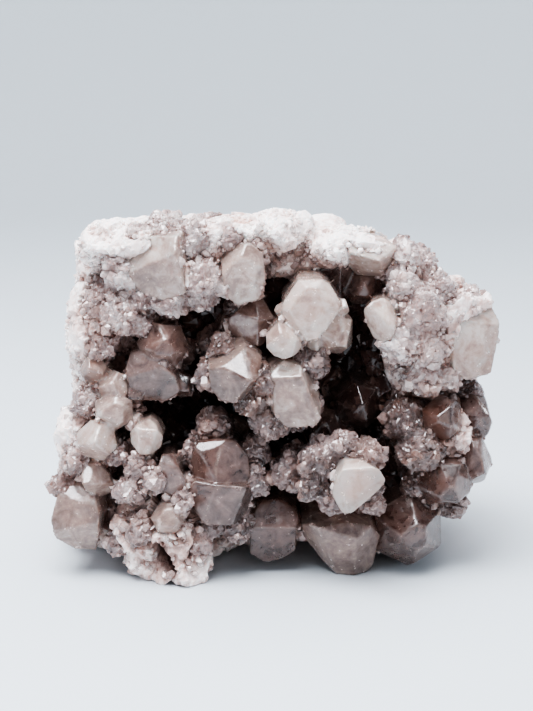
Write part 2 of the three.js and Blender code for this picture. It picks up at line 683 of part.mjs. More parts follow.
      tips: [
        [[255, 528, 27], [296, 528, 27], [272, 499, 22]],
        [[255, 528, 27], [296, 528, 27], [270, 557, 24]],
        [[296, 528, 27], [301, 515, 22], [298, 541, 22]],
      ],
      point: [0, -0.1, 1],
      body: 30,
    },
  ],
  low_right_crystals: [
    { at: [408, 530], out: 21, across: 24, point: [0.1, 0.06, 1], spin: 2, blunt: 0.7, body: 30 },
  ],
  deep_crystals: [
    { at: [359, 407], out: 10, across: 16.5, point: [0.1, -0.1, 1], spin: 12, blunt: 0.7, body: 34 },
    { at: [324, 428], out: 8, across: 16, point: [-0.1, 0.1, 1], spin: 25, blunt: 0.7, body: 34 },
    { at: [385, 385], out: 6, across: 12, point: [0.3, 0, 1], spin: 45, faces: "three", body: 30 },
  ],
  right_crown_crystals: [
    {
      rim: [
        [383, 297], [392, 302], [398, 318], [393, 335], [383, 342], [373, 337], [366, 322], [364, 309],
        [372, 300],
      ],
      out: 26,
      tips: [
        [[374, 310, 29.5], [386, 301, 27.5], [391, 325, 31.5]],
        [[374, 310, 29.5], [391, 325, 31.5], [374, 337, 27]],
        [[386, 301, 27.5], [391, 325, 31.5], [398, 312, 27]],
      ],
      point: [-0.15, -0.05, 1],
      body: 24,
    },
    {
      rim: [
        [452, 305], [466, 300], [480, 301], [490, 305], [498, 322], [493, 345], [489, 370], [462, 377],
        [448, 366], [441, 345], [443, 320],
      ],
      out: 18,
      tips: [
        [[452, 320, 24], [496, 325, 22], [470, 301, 19]],
        [[452, 320, 24], [496, 325, 22], [472, 374, 23]],
        [[452, 320, 24], [456, 352, 25], [442, 345, 19]],
      ],
      point: [0.12, 0, 1],
      body: 20,
    },
    { at: [400, 346], out: 27, across: 14.5, point: [-0.1, -0.35, 1], spin: 20, blunt: 0.7 },
    { at: [424, 312], out: 28, across: 16, point: [0.05, 0.15, 1], spin: 10, blunt: 0.5 },
    { at: [428, 350], out: 26, across: 15, point: [0, -0.3, 1], spin: 33, blunt: 0.7 },
    { at: [424, 381], out: 24, across: 13.5, point: [0, -0.35, 1], spin: 15, blunt: 0.5 },
    { at: [404, 286], out: 24, across: 12, point: [-0.15, 0.4, 1], spin: 25, blunt: 0.7 },
    { at: [438, 288], out: 21, across: 14, point: [0.1, 0.7, 1], spin: 40, blunt: 0.7 },
    { at: [468, 300], out: 15, across: 14, point: [0.4, 0.8, 1], spin: 10, blunt: 0.7 },
    { at: [450, 377], out: 21, across: 10, point: [0.3, -0.7, 1], spin: 5, faces: "three" },
  ],
  right_low_crystals: [
    { at: [477, 416], out: 17, across: 14, point: [0.45, 0.25, 1], spin: 18, stretch: [0.8, 1.15] },
    { at: [473, 462], out: 19, across: 16.5, point: [0.3, -0.15, 1], spin: 35, stretch: [0.85, 1.15] },
    { at: [404, 420], out: 23, across: 15, point: [-0.25, 0.1, 1], spin: 15, blunt: 0.6 },
    { at: [442, 418], out: 24, across: 15, point: [0.1, 0.25, 1], spin: 5, blunt: 0.6 },
    { at: [420, 452], out: 26, across: 16, point: [-0.1, -0.1, 1], spin: 40, blunt: 0.6 },
    { at: [446, 484], out: 24, across: 18, point: [0.1, -0.25, 1], spin: 25, blunt: 0.7 },
    { at: [453, 508], out: 22, across: 10, point: [0.2, -0.5, 1], spin: 10, blunt: 0.5 },
    { at: [419, 482], out: 20, across: 11.5, point: [-0.4, -0.2, 1], spin: 10, faces: "three" },
    { at: [470, 390], out: 13, across: 10, point: [0.5, 0.2, 1], spin: 25, faces: "three" },
  ],
};

function cluster(grow) {
  const grown = (form) => (form.rim ? faceted(form, grow) : crystal(form, grow));
  return wasm.Manifold.union([matrix(grow), ...Object.values(CLUMPS).flat().map(grown)]);
}

// The two pieces: the crust gives way to the cluster, and both end flat where they meet the table

const PIECES = {
  crystal_cluster: { make: cluster, color: 0xc4b2aa, roughness: 0.4 },
  hollow_crust: { make: crust, color: 0x7d655f, roughness: 0.55 },
};

const specimen = new THREE.Group();
specimen.name = "quartz_cluster";
const placed = [];
for (const [name, { make, ...finish }] of Object.entries(PIECES)) {
  let solid = cut(make(0), DOWN, 0);
  for (const earlier of placed) solid = solid.subtract(earlier);
  placed.push(make(GAP));
  const material = new THREE.MeshStandardMaterial({ ...finish, metalness: 0 });
  const mesh = new THREE.Mesh(geometryOf(largest(solid)), material);
  mesh.name = name;
  specimen.add(mesh);
}

export default specimen;
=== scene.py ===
import math
from itertools import combinations

import bmesh
import bpy
import numpy as np
from mathutils import Euler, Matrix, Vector, noise
from mathutils.bvhtree import BVHTree
from mathutils.kdtree import KDTree


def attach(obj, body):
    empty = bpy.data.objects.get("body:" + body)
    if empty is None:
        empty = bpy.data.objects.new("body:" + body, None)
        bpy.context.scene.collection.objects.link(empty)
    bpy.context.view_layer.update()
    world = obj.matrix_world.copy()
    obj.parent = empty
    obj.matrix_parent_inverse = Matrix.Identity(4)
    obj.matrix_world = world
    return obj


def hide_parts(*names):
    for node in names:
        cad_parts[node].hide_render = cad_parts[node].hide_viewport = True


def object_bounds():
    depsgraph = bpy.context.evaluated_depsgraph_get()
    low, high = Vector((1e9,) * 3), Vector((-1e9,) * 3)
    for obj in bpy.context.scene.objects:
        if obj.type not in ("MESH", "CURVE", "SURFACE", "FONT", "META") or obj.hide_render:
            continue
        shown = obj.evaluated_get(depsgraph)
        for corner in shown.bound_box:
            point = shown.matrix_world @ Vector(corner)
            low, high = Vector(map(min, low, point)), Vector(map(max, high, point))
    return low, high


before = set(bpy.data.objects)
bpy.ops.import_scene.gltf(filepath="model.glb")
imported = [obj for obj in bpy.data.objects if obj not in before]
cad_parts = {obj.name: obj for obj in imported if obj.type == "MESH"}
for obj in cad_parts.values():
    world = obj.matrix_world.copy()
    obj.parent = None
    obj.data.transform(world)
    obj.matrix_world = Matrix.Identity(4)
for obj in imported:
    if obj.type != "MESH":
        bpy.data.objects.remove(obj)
cadLow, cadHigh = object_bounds()
mm = 0.001

# The picture's size and focal length in pixels, how far down it looks, the eye in millimetres, and how
# many pixels a millimetre of the cluster takes up
view = {
    "focal": 1300, "width": 533, "height": 711, "pitch": 12, "eye": (-1.15, -423.9, 157.7), "perMm": 3.05,
}


def seen(across, down, out):  # the point at a place in the picture, millimetres out towards the viewer
    pitch = math.radians(view["pitch"])
    right = (across - view["width"] / 2) / view["focal"]
    up = (view["height"] / 2 - down) / view["focal"]
    ray = np.array([
        right, math.cos(pitch) + math.sin(pitch) * up, math.cos(pitch) * up - math.sin(pitch),
    ])
    eye = np.array(view["eye"])
    return (eye + ray * (-out - eye[1]) / ray[1]) * mm


def pictured(places):  # the pixels across and down at which points are seen
    pitch = math.radians(view["pitch"])
    off = places / mm - np.array(view["eye"])
    away = off[:, 1] * math.cos(pitch) - off[:, 2] * math.sin(pitch)
    up = off[:, 1] * math.sin(pitch) + off[:, 2] * math.cos(pitch)
    across = view["width"] / 2 + view["focal"] * off[:, 0] / away
    return across, view["height"] / 2 - view["focal"] * up / away


# The stout crystals, clump by clump: each has its place, how far out it stands, how wide it is, where
# it points, its turn, the faces of its tip, its length, and for some how blunt and how stretched it is
stoutCrystals = {
    "wall": [
        (121, 317, 25, 13.5, (0.3, -0.8), 18, "three", 14),
        (96, 306, 23, 11, (-0.2, -0.4), 33, "three", 12),
        (142, 328, 22, 9, (0.35, -0.6), 5, "three", 14),
        (101, 345, 24, 12, (-0.1, -0.4), 44, "three", 14),
        (115, 386, 26, 11, (-0.1, 0.35), 8, "three", 16),
        (114, 411, 29, 13, (0.05, 0.05), 0, "six", 18, 0.5),
        (93, 369, 26, 9, (-0.1, 0.2), 40, "three", 14),
        (133, 408, 20, 8, (0.5, 0), 20, "three", 20),
        (87, 402, 24, 12, (-0.4, 0.1), 25, "three", 12),
        (212, 226, 16, 10, (0.1, 0.2), 20, "six", 10, 0.6),
        (284, 252, 15, 8, (0.1, -0.4), 20, "three", 10),
        (200, 545, 32, 11, (0.3, -0.2), 15, "six", 12, 0.5),
        (140, 530, 33, 12, (-0.1, 0.1), 40, "six", 12, 0.5),
        (168, 518, 35, 11, (0.1, 0.2), 25, "six", 12, 0.5),
        (118, 545, 26, 11, (-0.3, -0.3), 10, "six", 12, 0.6),
    ],
    "front": [
        (344, 449, 34, 12, (0.1, 0.4), 15, "three", 12),
        (371, 455, 33, 11, (0.35, 0.35), 40, "three", 11),
        (317, 463, 36, 12, (-0.3, 0.15), 5, "six", 12, 0.6),
        (314, 489, 36, 10.5, (-0.3, -0.3), 45, "three", 10.5),
        (332, 503, 36, 9, (0, -0.6), 25, "three", 9),
        (291, 474, 27, 14, (-0.25, 0), 15, "three", 14),
        (372, 500, 28, 12, (0.6, -0.2), 10, "three", 12),
        (322, 448, 30, 10, (-0.1, 0.5), 30, "three", 10),
    ],
    "heart": [
        (314, 362, 28, 11.5, (0.3, 0.1), 12, "three", 11.5),
        (206, 376, 27, 9.5, (-0.6, -0.1), 22, "three", 9.5),
        (222, 350, 24, 11, (-0.4, 0.4), 40, "three", 11),
        (264, 384, 33.5, 8, (0, -0.1), 15, "three", 8),
        (252, 404, 29, 12, (-0.3, -0.5), 5, "three", 12),
        (270, 422, 28, 15, (0, -0.7), 33, "six", 15),
        (291, 422, 27, 10, (0.3, -0.7), 50, "three", 10),
        (312, 408, 28, 10, (0.6, -0.3), 20, "three", 10),
    ],
    "cream": [
        (335, 334, 26, 15, (0.45, -0.35), 10, "six", 15),
        (317, 345, 27, 8, (0.1, -0.7), 40, "three", 8),
        (283, 311, 28, 6, (-0.5, 0), 0, "three", 6),
        (342, 307, 27, 6, (0.7, 0.2), 20, "three", 6),
    ],
    "brown": [
        (228, 328, 15, 11, (-0.4, 0.1), 30, "three", 26),
        (211, 343, 12, 11, (-0.3, 0.1), 5, "three", 26),
        (236, 307, 14, 9, (-0.2, 0.2), 25, "three", 26),
    ],
    "crown": [
        (204, 279, 27, 12, (0.15, -0.2), 40, "three", 12),
        (196, 238, 22, 13, (0.35, 0.3), 50, "three", 13),
        (164, 232, 19, 15, (0, 0.25), 30, "six", 15, 0.5),
        (121, 277, 25, 11, (-0.2, -0.25), 12, "three", 11),
        (113, 262, 25, 8.5, (-0.3, 0.1), 50, "three", 8.5),
        (136, 238, 23, 9, (-0.15, 0.2), 30, "three", 9),
        (171, 302, 24, 13, (0.1, -0.6), 5, "six", 13),
        (203, 296, 22, 11.5, (0.2, -0.8), 35, "three", 11.5),
        (142, 300, 24, 9, (-0.2, -0.6), 25, "three", 9),
    ],
    "crown_point": [
        (226, 291, 27, 6.5, (-0.3, -0.5), 10, "three", 6.5),
        (258, 250, 23, 8.5, (0.3, 0.4), 25, "three", 8.5),
        (230, 239, 23, 10, (-0.1, 0.6), 45, "three", 10),
    ],
    "lid": [
        (408, 258, 20, 8.5, (0.3, -0.3), 20, "three", 8.5),
        (425, 262, 17, 8.5, (0.4, -0.2), 45, "three", 8.5),
        (388, 270, 16, 9, (0, -0.6), 10, "three", 9),
    ],
    "inner_lid": [
        (364, 288, 15, 13, (-0.2, -0.1), 25, "six", 30, 0.7),
    ],
    "left": [
        (163, 346, 24, 16.5, (0.1, 0.05), 22, "six", 16.5, 0.7),
        (184, 350, 16, 10, (0.4, 0.1), 10, "three", 10),
        (182, 386, 21, 9, (0.6, -0.2), 10, "three", 9),
        (135, 392, 25, 8, (-0.4, -0.4), 40, "three", 8),
    ],
    "stemmed": [
        (146, 452, 27, 6, (0.1, 0.1), 20, "three", 44),
    ],
    "corner": [
        (97, 440, 30, 13.5, (0, 0.12), 14, "three", 13.5),
        (119, 454, 26, 9.5, (0.4, -0.05), 5, "three", 9.5),
        (76, 460, 26, 11, (-0.4, 0.1), 50, "three", 11),
        (63, 486, 23, 10, (-0.7, 0.1), 12, "three", 10),
    ],
    "foot": [
        (154, 482, 35.5, 7.5, (-0.1, 0.2), 0, "three", 7.5),
        (139, 468, 31, 10, (-0.2, 0.4), 40, "three", 10),
        (184, 503, 36.5, 7, (0.2, 0.05), 20, "six", 7, 0.6),
        (127, 490, 32, 10, (-0.4, 0.2), 10, "three", 10),
    ],
    "twin": [
        (235, 525, 28, 13, (0.1, -0.8), 30, "six", 13),
        (211, 524, 29, 10, (-0.3, -0.8), 12, "three", 10),
        (254, 482, 27, 12, (0.55, -0.1), 25, "three", 12),
        (258, 452, 23, 9.5, (0.3, 0.1), 5, "three", 9.5),
        (214, 424, 22, 12, (0, 0.3), 35, "three", 12),
        (193, 450, 23, 9, (-0.6, 0), 35, "three", 9),
    ],
    "low_right": [
        (408, 530, 21, 24, (0.1, 0.06), 2, "six", 30, 0.7),
    ],
    "deep": [
        (359, 407, 10, 16.5, (0.1, -0.1), 12, "six", 34, 0.7),
        (324, 428, 8, 16, (-0.1, 0.1), 25, "six", 34, 0.7),
        (385, 385, 6, 12, (0.3, 0), 45, "three", 30),
    ],
    "right_crown": [
        (400, 346, 27, 14.5, (-0.1, -0.35), 20, "six", 14.5, 0.7),
        (424, 312, 28, 16, (0.05, 0.15), 10, "six", 16, 0.5),
        (428, 350, 26, 15, (0, -0.3), 33, "six", 15, 0.7),
        (424, 381, 24, 13.5, (0, -0.35), 15, "six", 13.5, 0.5),
        (404, 286, 24, 12, (-0.15, 0.4), 25, "six", 12, 0.7),
        (438, 288, 21, 14, (0.1, 0.7), 40, "six", 14, 0.7),
        (468, 300, 15, 14, (0.4, 0.8), 10, "six", 14, 0.7),
        (450, 377, 21, 10, (0.3, -0.7), 5, "three", 10),
    ],
    "right_low": [
        (477, 416, 17, 14, (0.45, 0.25), 18, "six", 14, 1, (0.8, 1.15)),
        (473, 462, 19, 16.5, (0.3, -0.15), 35, "six", 16.5, 1, (0.85, 1.15)),
        (404, 420, 23, 15, (-0.25, 0.1), 15, "six", 15, 0.6),
        (442, 418, 24, 15, (0.1, 0.25), 5, "six", 15, 0.6),
        (420, 452, 26, 16, (-0.1, -0.1), 40, "six", 16, 0.6),
        (446, 484, 24, 18, (0.1, -0.25), 25, "six", 18, 0.7),
        (453, 508, 22, 10, (0.2, -0.5), 10, "six", 10, 0.5),
        (419, 482, 20, 11.5, (-0.4, -0.2), 10, "three", 11.5),
        (470, 390, 13, 10, (0.5, 0.2), 25, "three", 10),
    ],}

# The broad crystals: an outline drawn back along the axis, and tip faces through three places each
broadCrystals = [
    {
        "clump": "front", "out": 41, "body": 30, "point": (0.12, 0.1), "tone": 0.06,
        "rim": [
            (337, 461), (350, 459), (362, 460), (378, 468), (387, 482), (380, 488), (371, 503),
            (362, 512), (342, 512), (336, 503), (328, 484), (335, 474),
        ],
        "tips": [
            ((343, 470, 45), (376, 477, 44.5), (352, 505, 44)),
            ((338, 462, 42), (362, 461, 42), (350, 469, 44.8)),
            ((386, 482, 42), (372, 502, 41), (364, 490, 44.4)),
            ((330, 484, 42), (340, 510, 42), (342, 488, 44.6)),
        ],
    },
    {
        "clump": "heart", "out": 30, "body": 44, "point": (0, -0.1), "tone": 0.74,
        "rim": [
            (240, 343), (262, 358), (261, 375), (249, 395), (237, 400), (219, 399), (210, 385),
            (208, 362), (218, 350),
        ],
        "tips": [
            ((222, 367, 34), (251, 381, 37), (243, 350, 29.5)),
            ((222, 367, 34), (251, 381, 37), (228, 400, 33)),
            ((243, 350, 29.5), (251, 381, 37), (262, 362, 30)),
            ((222, 367, 34), (243, 350, 29.5), (211, 362, 29)),
            ((251, 381, 37), (259, 384, 31), (241, 399, 32)),
        ],
    },
    {
        "clump": "heart", "out": 31, "body": 46, "point": (0.05, -0.1), "tone": 0.36,
        "rim": [
            (268, 373), (284, 361), (300, 364), (310, 372), (321, 398), (322, 408), (316, 420),
            (300, 424), (285, 425), (272, 412), (265, 392),
        ],
        "tips": [
            ((272, 379, 34.5), (302, 377, 36.5), (285, 362, 31)),
            ((272, 379, 34.5), (302, 377, 36.5), (295, 424, 34)),
            ((302, 377, 36.5), (317, 404, 33.5), (303, 366, 32)),
            ((272, 379, 34.5), (266, 392, 30), (276, 414, 33.5)),
        ],
    },
    {
        "clump": "cream", "out": 32, "body": 52, "point": (0, -0.05),
        "rim": [
            (299, 280), (322, 280), (330, 285), (341, 303), (337, 313), (318, 337), (303, 340),
            (297, 336), (281, 312), (283, 303),
        ],
        "tips": [
            ((300, 289, 35.5), (324, 290, 35.2), (310, 337, 34.5)),
            ((299, 280.5, 32), (322, 280.5, 32), (310, 287.5, 35.5)),
            ((283, 303, 32), (298, 281, 32), (296, 302, 35.4)),
            ((322, 281, 32), (340, 302, 32.4), (326, 296, 35.1)),
            ((282, 312, 32.5), (298, 336, 32.5), (293, 316, 35.2)),
        ],
    },
    {
        "clump": "drop", "out": 34, "body": 30, "point": (0, 0),
        "rim": [
            (279, 322), (290, 328), (300, 339), (302, 348), (296, 355), (284, 358), (274, 355),
            (267, 347), (266, 337), (272, 329),
        ],
        "tips": [
            ((275, 334, 37), (293, 339, 37), (283, 355, 36)),
            ((279, 323, 34), (292, 330, 34), (283, 334, 37)),
            ((267, 338, 34.5), (276, 326, 34), (276, 338, 37)),
            ((301, 341, 34.5), (297, 355, 34), (294, 345, 36.8)),
        ],
    },
    {
        "clump": "brown", "out": 20, "body": 40, "point": (0, 0),
        "rim": [
            (242, 305), (252, 299), (263, 300), (275, 318), (273, 335), (262, 345), (245, 343),
            (230, 333), (228, 318),
        ],
        "tips": [
            ((251, 300, 21), (274, 318, 21), (258, 320, 25)),
            ((258, 320, 25), (238, 314, 23), (252, 343, 23)),
            ((258, 320, 25), (273, 320, 21), (264, 342, 22)),
            ((258, 320, 25), (238, 314, 23), (248, 301, 20)),
        ],
    },
    {
        "clump": "crown", "out": 24, "body": 16, "point": (0, -0.1),
        "rim": [
            (122, 243), (137, 238), (181, 231), (196, 240), (197, 264), (188, 288), (166, 298),
            (146, 293), (128, 277), (120, 262),
        ],
        "tips": [
            ((131, 272, 28), (176, 253, 33), (141, 239, 24)),
            ((131, 272, 28), (176, 253, 33), (165, 297, 28)),
            ((176, 253, 33), (181, 232, 27), (188, 288, 27.5)),
            ((131, 272, 28), (139, 240, 25), (121, 255, 23)),
        ],
    },
    {
        "clump": "crown_point", "out": 26, "body": 18, "point": (0.05, -0.1),
        "rim": [
            (220, 253), (232, 242), (250, 243), (263, 252), (265, 278), (259, 298), (238, 304),
            (227, 296), (222, 275),
        ],
        "tips": [
            ((238, 264, 31.5), (246, 244, 28), (224, 273, 29.5)),
            ((238, 264, 31.5), (246, 244, 28), (263, 267, 29.5)),
            ((225, 273, 29.5), (263, 267, 29.5), (244, 303, 28)),
        ],
    },
    {
        "clump": "lid", "out": 18, "body": 20, "point": (0.1, 0),
        "rim": [
            (345, 236), (360, 233), (384, 237), (397, 247), (394, 262), (380, 276), (358, 276),
            (345, 262),
        ],
        "tips": [
            ((352, 253, 27), (380, 261, 27), (365, 231, 16)),
            ((352, 253, 27), (380, 261, 27), (366, 275, 18)),
            ((380, 261, 27), (397, 248, 20), (392, 262, 18)),
        ],
    },
    {
        "clump": "inner_lid", "out": 13, "body": 30, "point": (0.05, -0.35),
        "rim": [
            (310, 262), (322, 256), (338, 254), (350, 262), (355, 278), (350, 292), (340, 299),
            (325, 298), (312, 285),
        ],
        "tips": [
            ((311, 271, 16), (341, 268, 19), (330, 255, 14)),
            ((311, 271, 16), (341, 268, 19), (335, 298, 15)),
            ((341, 268, 19), (352, 270, 15), (346, 294, 14)),
        ],
    },
    {
        "tone": 0.42,
        "clump": "left", "out": 25, "body": 30, "point": (0, -0.15),
        "rim": [
            (130, 353), (142, 350), (158, 356), (176, 372), (181, 390), (166, 401), (141, 399),
            (130, 388), (126, 366),
        ],
        "tips": [
            ((138, 379, 29.5), (160, 367, 29.5), (155, 400, 27.5)),
            ((138, 379, 29.5), (160, 367, 29.5), (134, 352, 25)),
            ((160, 367, 29.5), (176, 380, 28), (168, 398, 26)),
        ],
    },
    {
        "clump": "stemmed", "out": 31, "body": 12, "point": (0, 0),
        "rim": [
            (137, 424), (149, 421), (157, 426), (163, 436), (161, 448), (152, 453), (140, 452),
            (131, 444), (130, 432),
        ],
        "tips": [
            ((140, 431, 34), (154, 431, 34), (147, 448, 33.5)),
            ((138, 424, 31.5), (155, 425, 31.5), (147, 430, 34)),
            ((131, 432, 31.5), (132, 444, 31.5), (139, 440, 33.9)),
            ((162, 438, 31.5), (155, 451, 31.5), (153, 441, 33.8)),
        ],
    },
    {
        "clump": "corner", "out": 25, "body": 18, "point": (-0.1, -0.05),
        "rim": [
            (60, 487), (80, 482), (97, 492), (103, 508), (101, 530), (96, 550), (75, 548),
            (58, 535), (54, 515),
        ],
        "tips": [
            ((60, 500, 28), (100, 505, 30), (80, 529, 30.5)),
            ((58, 531, 29.5), (101, 527, 30.5), (80, 551, 25)),
            ((60, 500, 28), (100, 505, 30), (80, 484, 25)),
        ],
    },
    {
        "clump": "corner", "out": 26, "body": 16, "point": (0.05, 0),
        "rim": [
            (86, 461), (98, 459), (110, 472), (118, 490), (101, 498), (88, 488), (82, 472),
        ],
        "tips": [
            ((86, 463, 28), (97, 461, 28), (92, 474, 31)),
            ((97, 461, 28), (92, 474, 31), (110, 483, 30)),
            ((92, 488, 30.5), (111, 484, 30), (102, 498, 24)),
        ],
    },
    {
        "clump": "foot", "out": 31, "body": 20, "point": (0, 0.1),
        "rim": [
            (162, 454), (173, 454), (182, 470), (187, 480), (178, 495), (163, 492), (157, 470),
        ],
        "tips": [
            ((161, 462, 34), (179, 474, 34), (168, 492, 33.5)),
            ((161, 462, 34), (176, 466, 33.5), (168, 454, 31)),
        ],
    },
    {
        "clump": "twin", "out": 27, "body": 44, "point": (0, 0.1),
        "rim": [
            (197, 441), (222, 438), (236, 441), (249, 456), (250, 476), (234, 483), (195, 480),
            (190, 462),
        ],
        "tips": [
            ((200, 452, 31), (221, 445, 30.5), (215, 478, 34)),
            ((221, 445, 30.5), (215, 478, 34), (249, 462, 28.5)),
            ((200, 452, 31), (215, 478, 34), (191, 470, 28.5)),
            ((200, 452, 31), (221, 445, 30.5), (210, 440, 28.5)),
        ],
    },
    {
        "clump": "twin", "out": 30, "body": 44, "point": (0, -0.05),
        "rim": [
            (197, 476), (222, 479), (248, 480), (254, 492), (248, 510), (238, 520), (208, 520),
            (196, 508), (187, 487),
        ],
        "tips": [
            ((208, 484, 36), (244, 488, 35), (220, 518, 35)),
            ((198, 477, 33), (188, 487, 32), (207, 510, 35.5)),
            ((198, 477, 33), (240, 480, 33.5), (222, 485, 36)),
            ((253, 492, 31), (240, 519, 32), (240, 503, 35)),
        ],
    },
    {
        "clump": "hanging", "out": 22, "body": 30, "point": (0.05, -0.3),
        "rim": [
            (301, 520), (310, 513), (345, 510), (369, 514), (379, 530), (376, 548), (373, 564),
            (358, 581), (338, 578), (320, 556), (304, 542),
        ],
        "tips": [
            ((318, 528, 30), (356, 540, 31), (346, 577, 25)),
            ((302, 524, 25), (318, 528, 30), (336, 576, 24)),
            ((356, 540, 31), (375, 545, 25), (360, 578, 24)),
            ((318, 528, 30), (356, 540, 31), (345, 512, 27)),
        ],
    },
    {
        "clump": "dome", "out": 20, "body": 30, "point": (0, -0.1),
        "rim": [
            (249, 510), (262, 498), (280, 496), (296, 505), (302, 525), (299, 541), (284, 553),
            (266, 558), (250, 548),
        ],
        "tips": [
            ((255, 528, 27), (296, 528, 27), (272, 499, 22)),
            ((255, 528, 27), (296, 528, 27), (270, 557, 24)),
            ((296, 528, 27), (301, 515, 22), (298, 541, 22)),
        ],
    },
    {
        "clump": "right_crown", "out": 26, "body": 24, "point": (-0.15, -0.05), "tone": 0.2,
        "rim": [
            (383, 297), (392, 302), (398, 318), (393, 335), (383, 342), (373, 337), (366, 322),
            (364, 309), (372, 300),
        ],
        "tips": [
            ((374, 310, 29.5), (386, 301, 27.5), (391, 325, 31.5)),
            ((374, 310, 29.5), (391, 325, 31.5), (374, 337, 27)),
            ((386, 301, 27.5), (391, 325, 31.5), (398, 312, 27)),
        ],
    },
    {
        "clump": "right_crown", "out": 18, "body": 20, "point": (0.12, 0), "tone": 0.05,
        "rim": [
            (452, 305), (466, 300), (480, 301), (490, 305), (498, 322), (493, 345), (489, 370),
            (462, 377), (448, 366), (441, 345), (443, 320),
        ],
        "tips": [
            ((452, 320, 24), (496, 325, 22), (470, 301, 19)),
            ((452, 320, 24), (496, 325, 22), (472, 374, 23)),
            ((452, 320, 24), (456, 352, 25), (442, 345, 19)),
        ],
    },
]

# Each clump's colour, from 0 for creamy white to 1 for dim grey-brown, and its iron stain; the dim values
# of the clumps deep in the hollow and low down hold painted shade as well as their own colour
tones = {
    "wall": (0.4, 0.3), "front": (0.5, 0.35), "heart": (0.36, 0.3), "cream": (0.14, 0.2),
    "drop": (0.16, 0.1), "brown": (0.54, 0.3), "crown": (0.24, 0.15), "crown_point": (0.32, 0.2),
    "lid": (0.3, 0.1), "inner_lid": (0.7, 0.2), "left": (0.72, 0.35), "stemmed": (0.14, 0.1),
    "corner": (0.3, 0.2), "foot": (0.5, 0.15), "twin": (0.78, 0.3), "hanging": (0.6, 0.15),
    "dome": (0.8, 0.25),
    "low_right": (1.0, 0.2), "deep": (0.9, 0.2), "right_crown": (0.1, 0.25), "right_low": (0.75, 0.45),
}
smokyClumps = {"brown", "inner_lid", "left", "twin", "dome", "low_right", "deep", "right_low", "foot"}

# The same for the crystals that have grown together, in the clumps where they differ
massTones = {
    "wall": (0.42, 0.35), "front": (0.64, 0.3), "heart": (0.8, 0.4), "brown": (0.64, 0.35),
    "twin": (0.68, 0.3), "right_crown": (0.2, 0.3), "right_low": (0.82, 0.35), "foot": (0.42, 0.1),
    "corner": (0.4, 0.2),
}

# Clumps whose stout crystals have grown together into a rough mass, and the few that stand clear in them
massedClumps = {
    "wall", "crown", "crown_point", "lid", "corner", "foot", "twin", "heart", "front", "right_crown",
    "right_low", "brown",
}
clearStouts = {
    (97, 440), (477, 416), (473, 462), (442, 418), (446, 484), (228, 328), (168, 518), (93, 369),
    (115, 386), (114, 411),
}
growth = {
    "rhomb": math.radians(51.8), "taper": math.radians(2.5), "long": 200 * mm,
    "six": (0, 0.12, -0.08, 0.1, -0.05, 0.15), "three": (0, None, 0.05, None, -0.05, None),
}
closeness = {"parallel": 1e-5, "outside": 2e-6, "same": 2e-5, "onFace": 1.5e-5}


# Crystals as solids between planes

def dice(seed):
    state = seed * 2654435761

    def roll(low=0.0, high=1.0):
        nonlocal state
        state = (state + 0x6D2B79F5) & 0xFFFFFFFF
        mixed = ((state ^ (state >> 15)) * (1 | state)) & 0xFFFFFFFF
        mixed = ((mixed + (mixed ^ (mixed >> 7)) * (61 | mixed)) ^ mixed) & 0xFFFFFFFF
        return low + (mixed ^ (mixed >> 14)) / 4294967296 * (high - low)

    return roll


def between(planes):  # the corners of the body inside all the planes, and each face's corners in order
    normals = np.array([n for n, _ in planes], dtype=float)
    sizes = np.linalg.norm(normals, axis=1)
    normals /= sizes[:, None]
    offsets = np.array([d for _, d in planes]) / sizes
    corners = []
    for trio in combinations(range(len(planes)), 3):
        chosen = normals[list(trio)]
        if abs(np.linalg.det(chosen)) < closeness["parallel"]:
            continue
        corner = np.linalg.solve(chosen, offsets[list(trio)])
        if (normals @ corner - offsets).max() > closeness["outside"]:
            continue
        if all(np.abs(corner - other).max() > closeness["same"] for other in corners):
            corners.append(corner)
    corners = np.array(corners)
    faces = []
    for index, (normal, offset) in enumerate(zip(normals, offsets)):
        on = np.where(np.abs(corners @ normal - offset) < closeness["onFace"])[0]
        if len(on) < 3:
            continue
        middle = corners[on].mean(axis=0)
        across = corners[on[0]] - middle
        across /= np.linalg.norm(across)
        along = np.cross(normal, across)
        turns = np.arctan2((corners[on] - middle) @ along, (corners[on] - middle) @ across)
        faces.append((index, [int(i) for i in on[np.argsort(turns)]]))
    return corners, faces


def axisOf(point):
    axis = np.array([point[0], -1.0, point[1]])
    return axis / np.linalg.norm(axis)


def stoutCrystal(x, y, out, across, point, spin, tip, body, blunt=1, stretch=(1, 1)):
    roll = dice(x + y)
    radius = across / 2 * mm * math.cos(math.pi / 6)
    rhomb, taper = growth["rhomb"], growth["taper"]
    planes = []
    for i, start in enumerate(growth[tip]):
        angle = math.radians(spin) + i * math.pi / 3
        flank = radius * roll(0.94, 1.06)
        planes.append(((math.cos(angle), math.sin(angle), math.tan(taper)), flank))
        if start is not None:
            start = radius * (start + roll(-0.06, 0.06))
            tilt = (math.cos(angle) * math.sin(rhomb), math.sin(angle) * math.sin(rhomb), math.cos(rhomb))
            planes.append((tilt, flank * math.sin(rhomb) + start * math.cos(rhomb)))
    planes.append(((0, 0, 1), radius * math.tan(rhomb) * blunt))
    planes.append(((0, 0, -1), body * mm))
    corners, faces = between(planes)
    w = axisOf(point)
    u = np.cross((0, 0, 1), w)
    u /= np.linalg.norm(u)
    v = np.cross(w, u)
    corners = corners * (stretch[0], stretch[1], 1) @ np.array([u, v, w]) + seen(x, y, out)
    return corners, faces, w, seen(x, y, out)


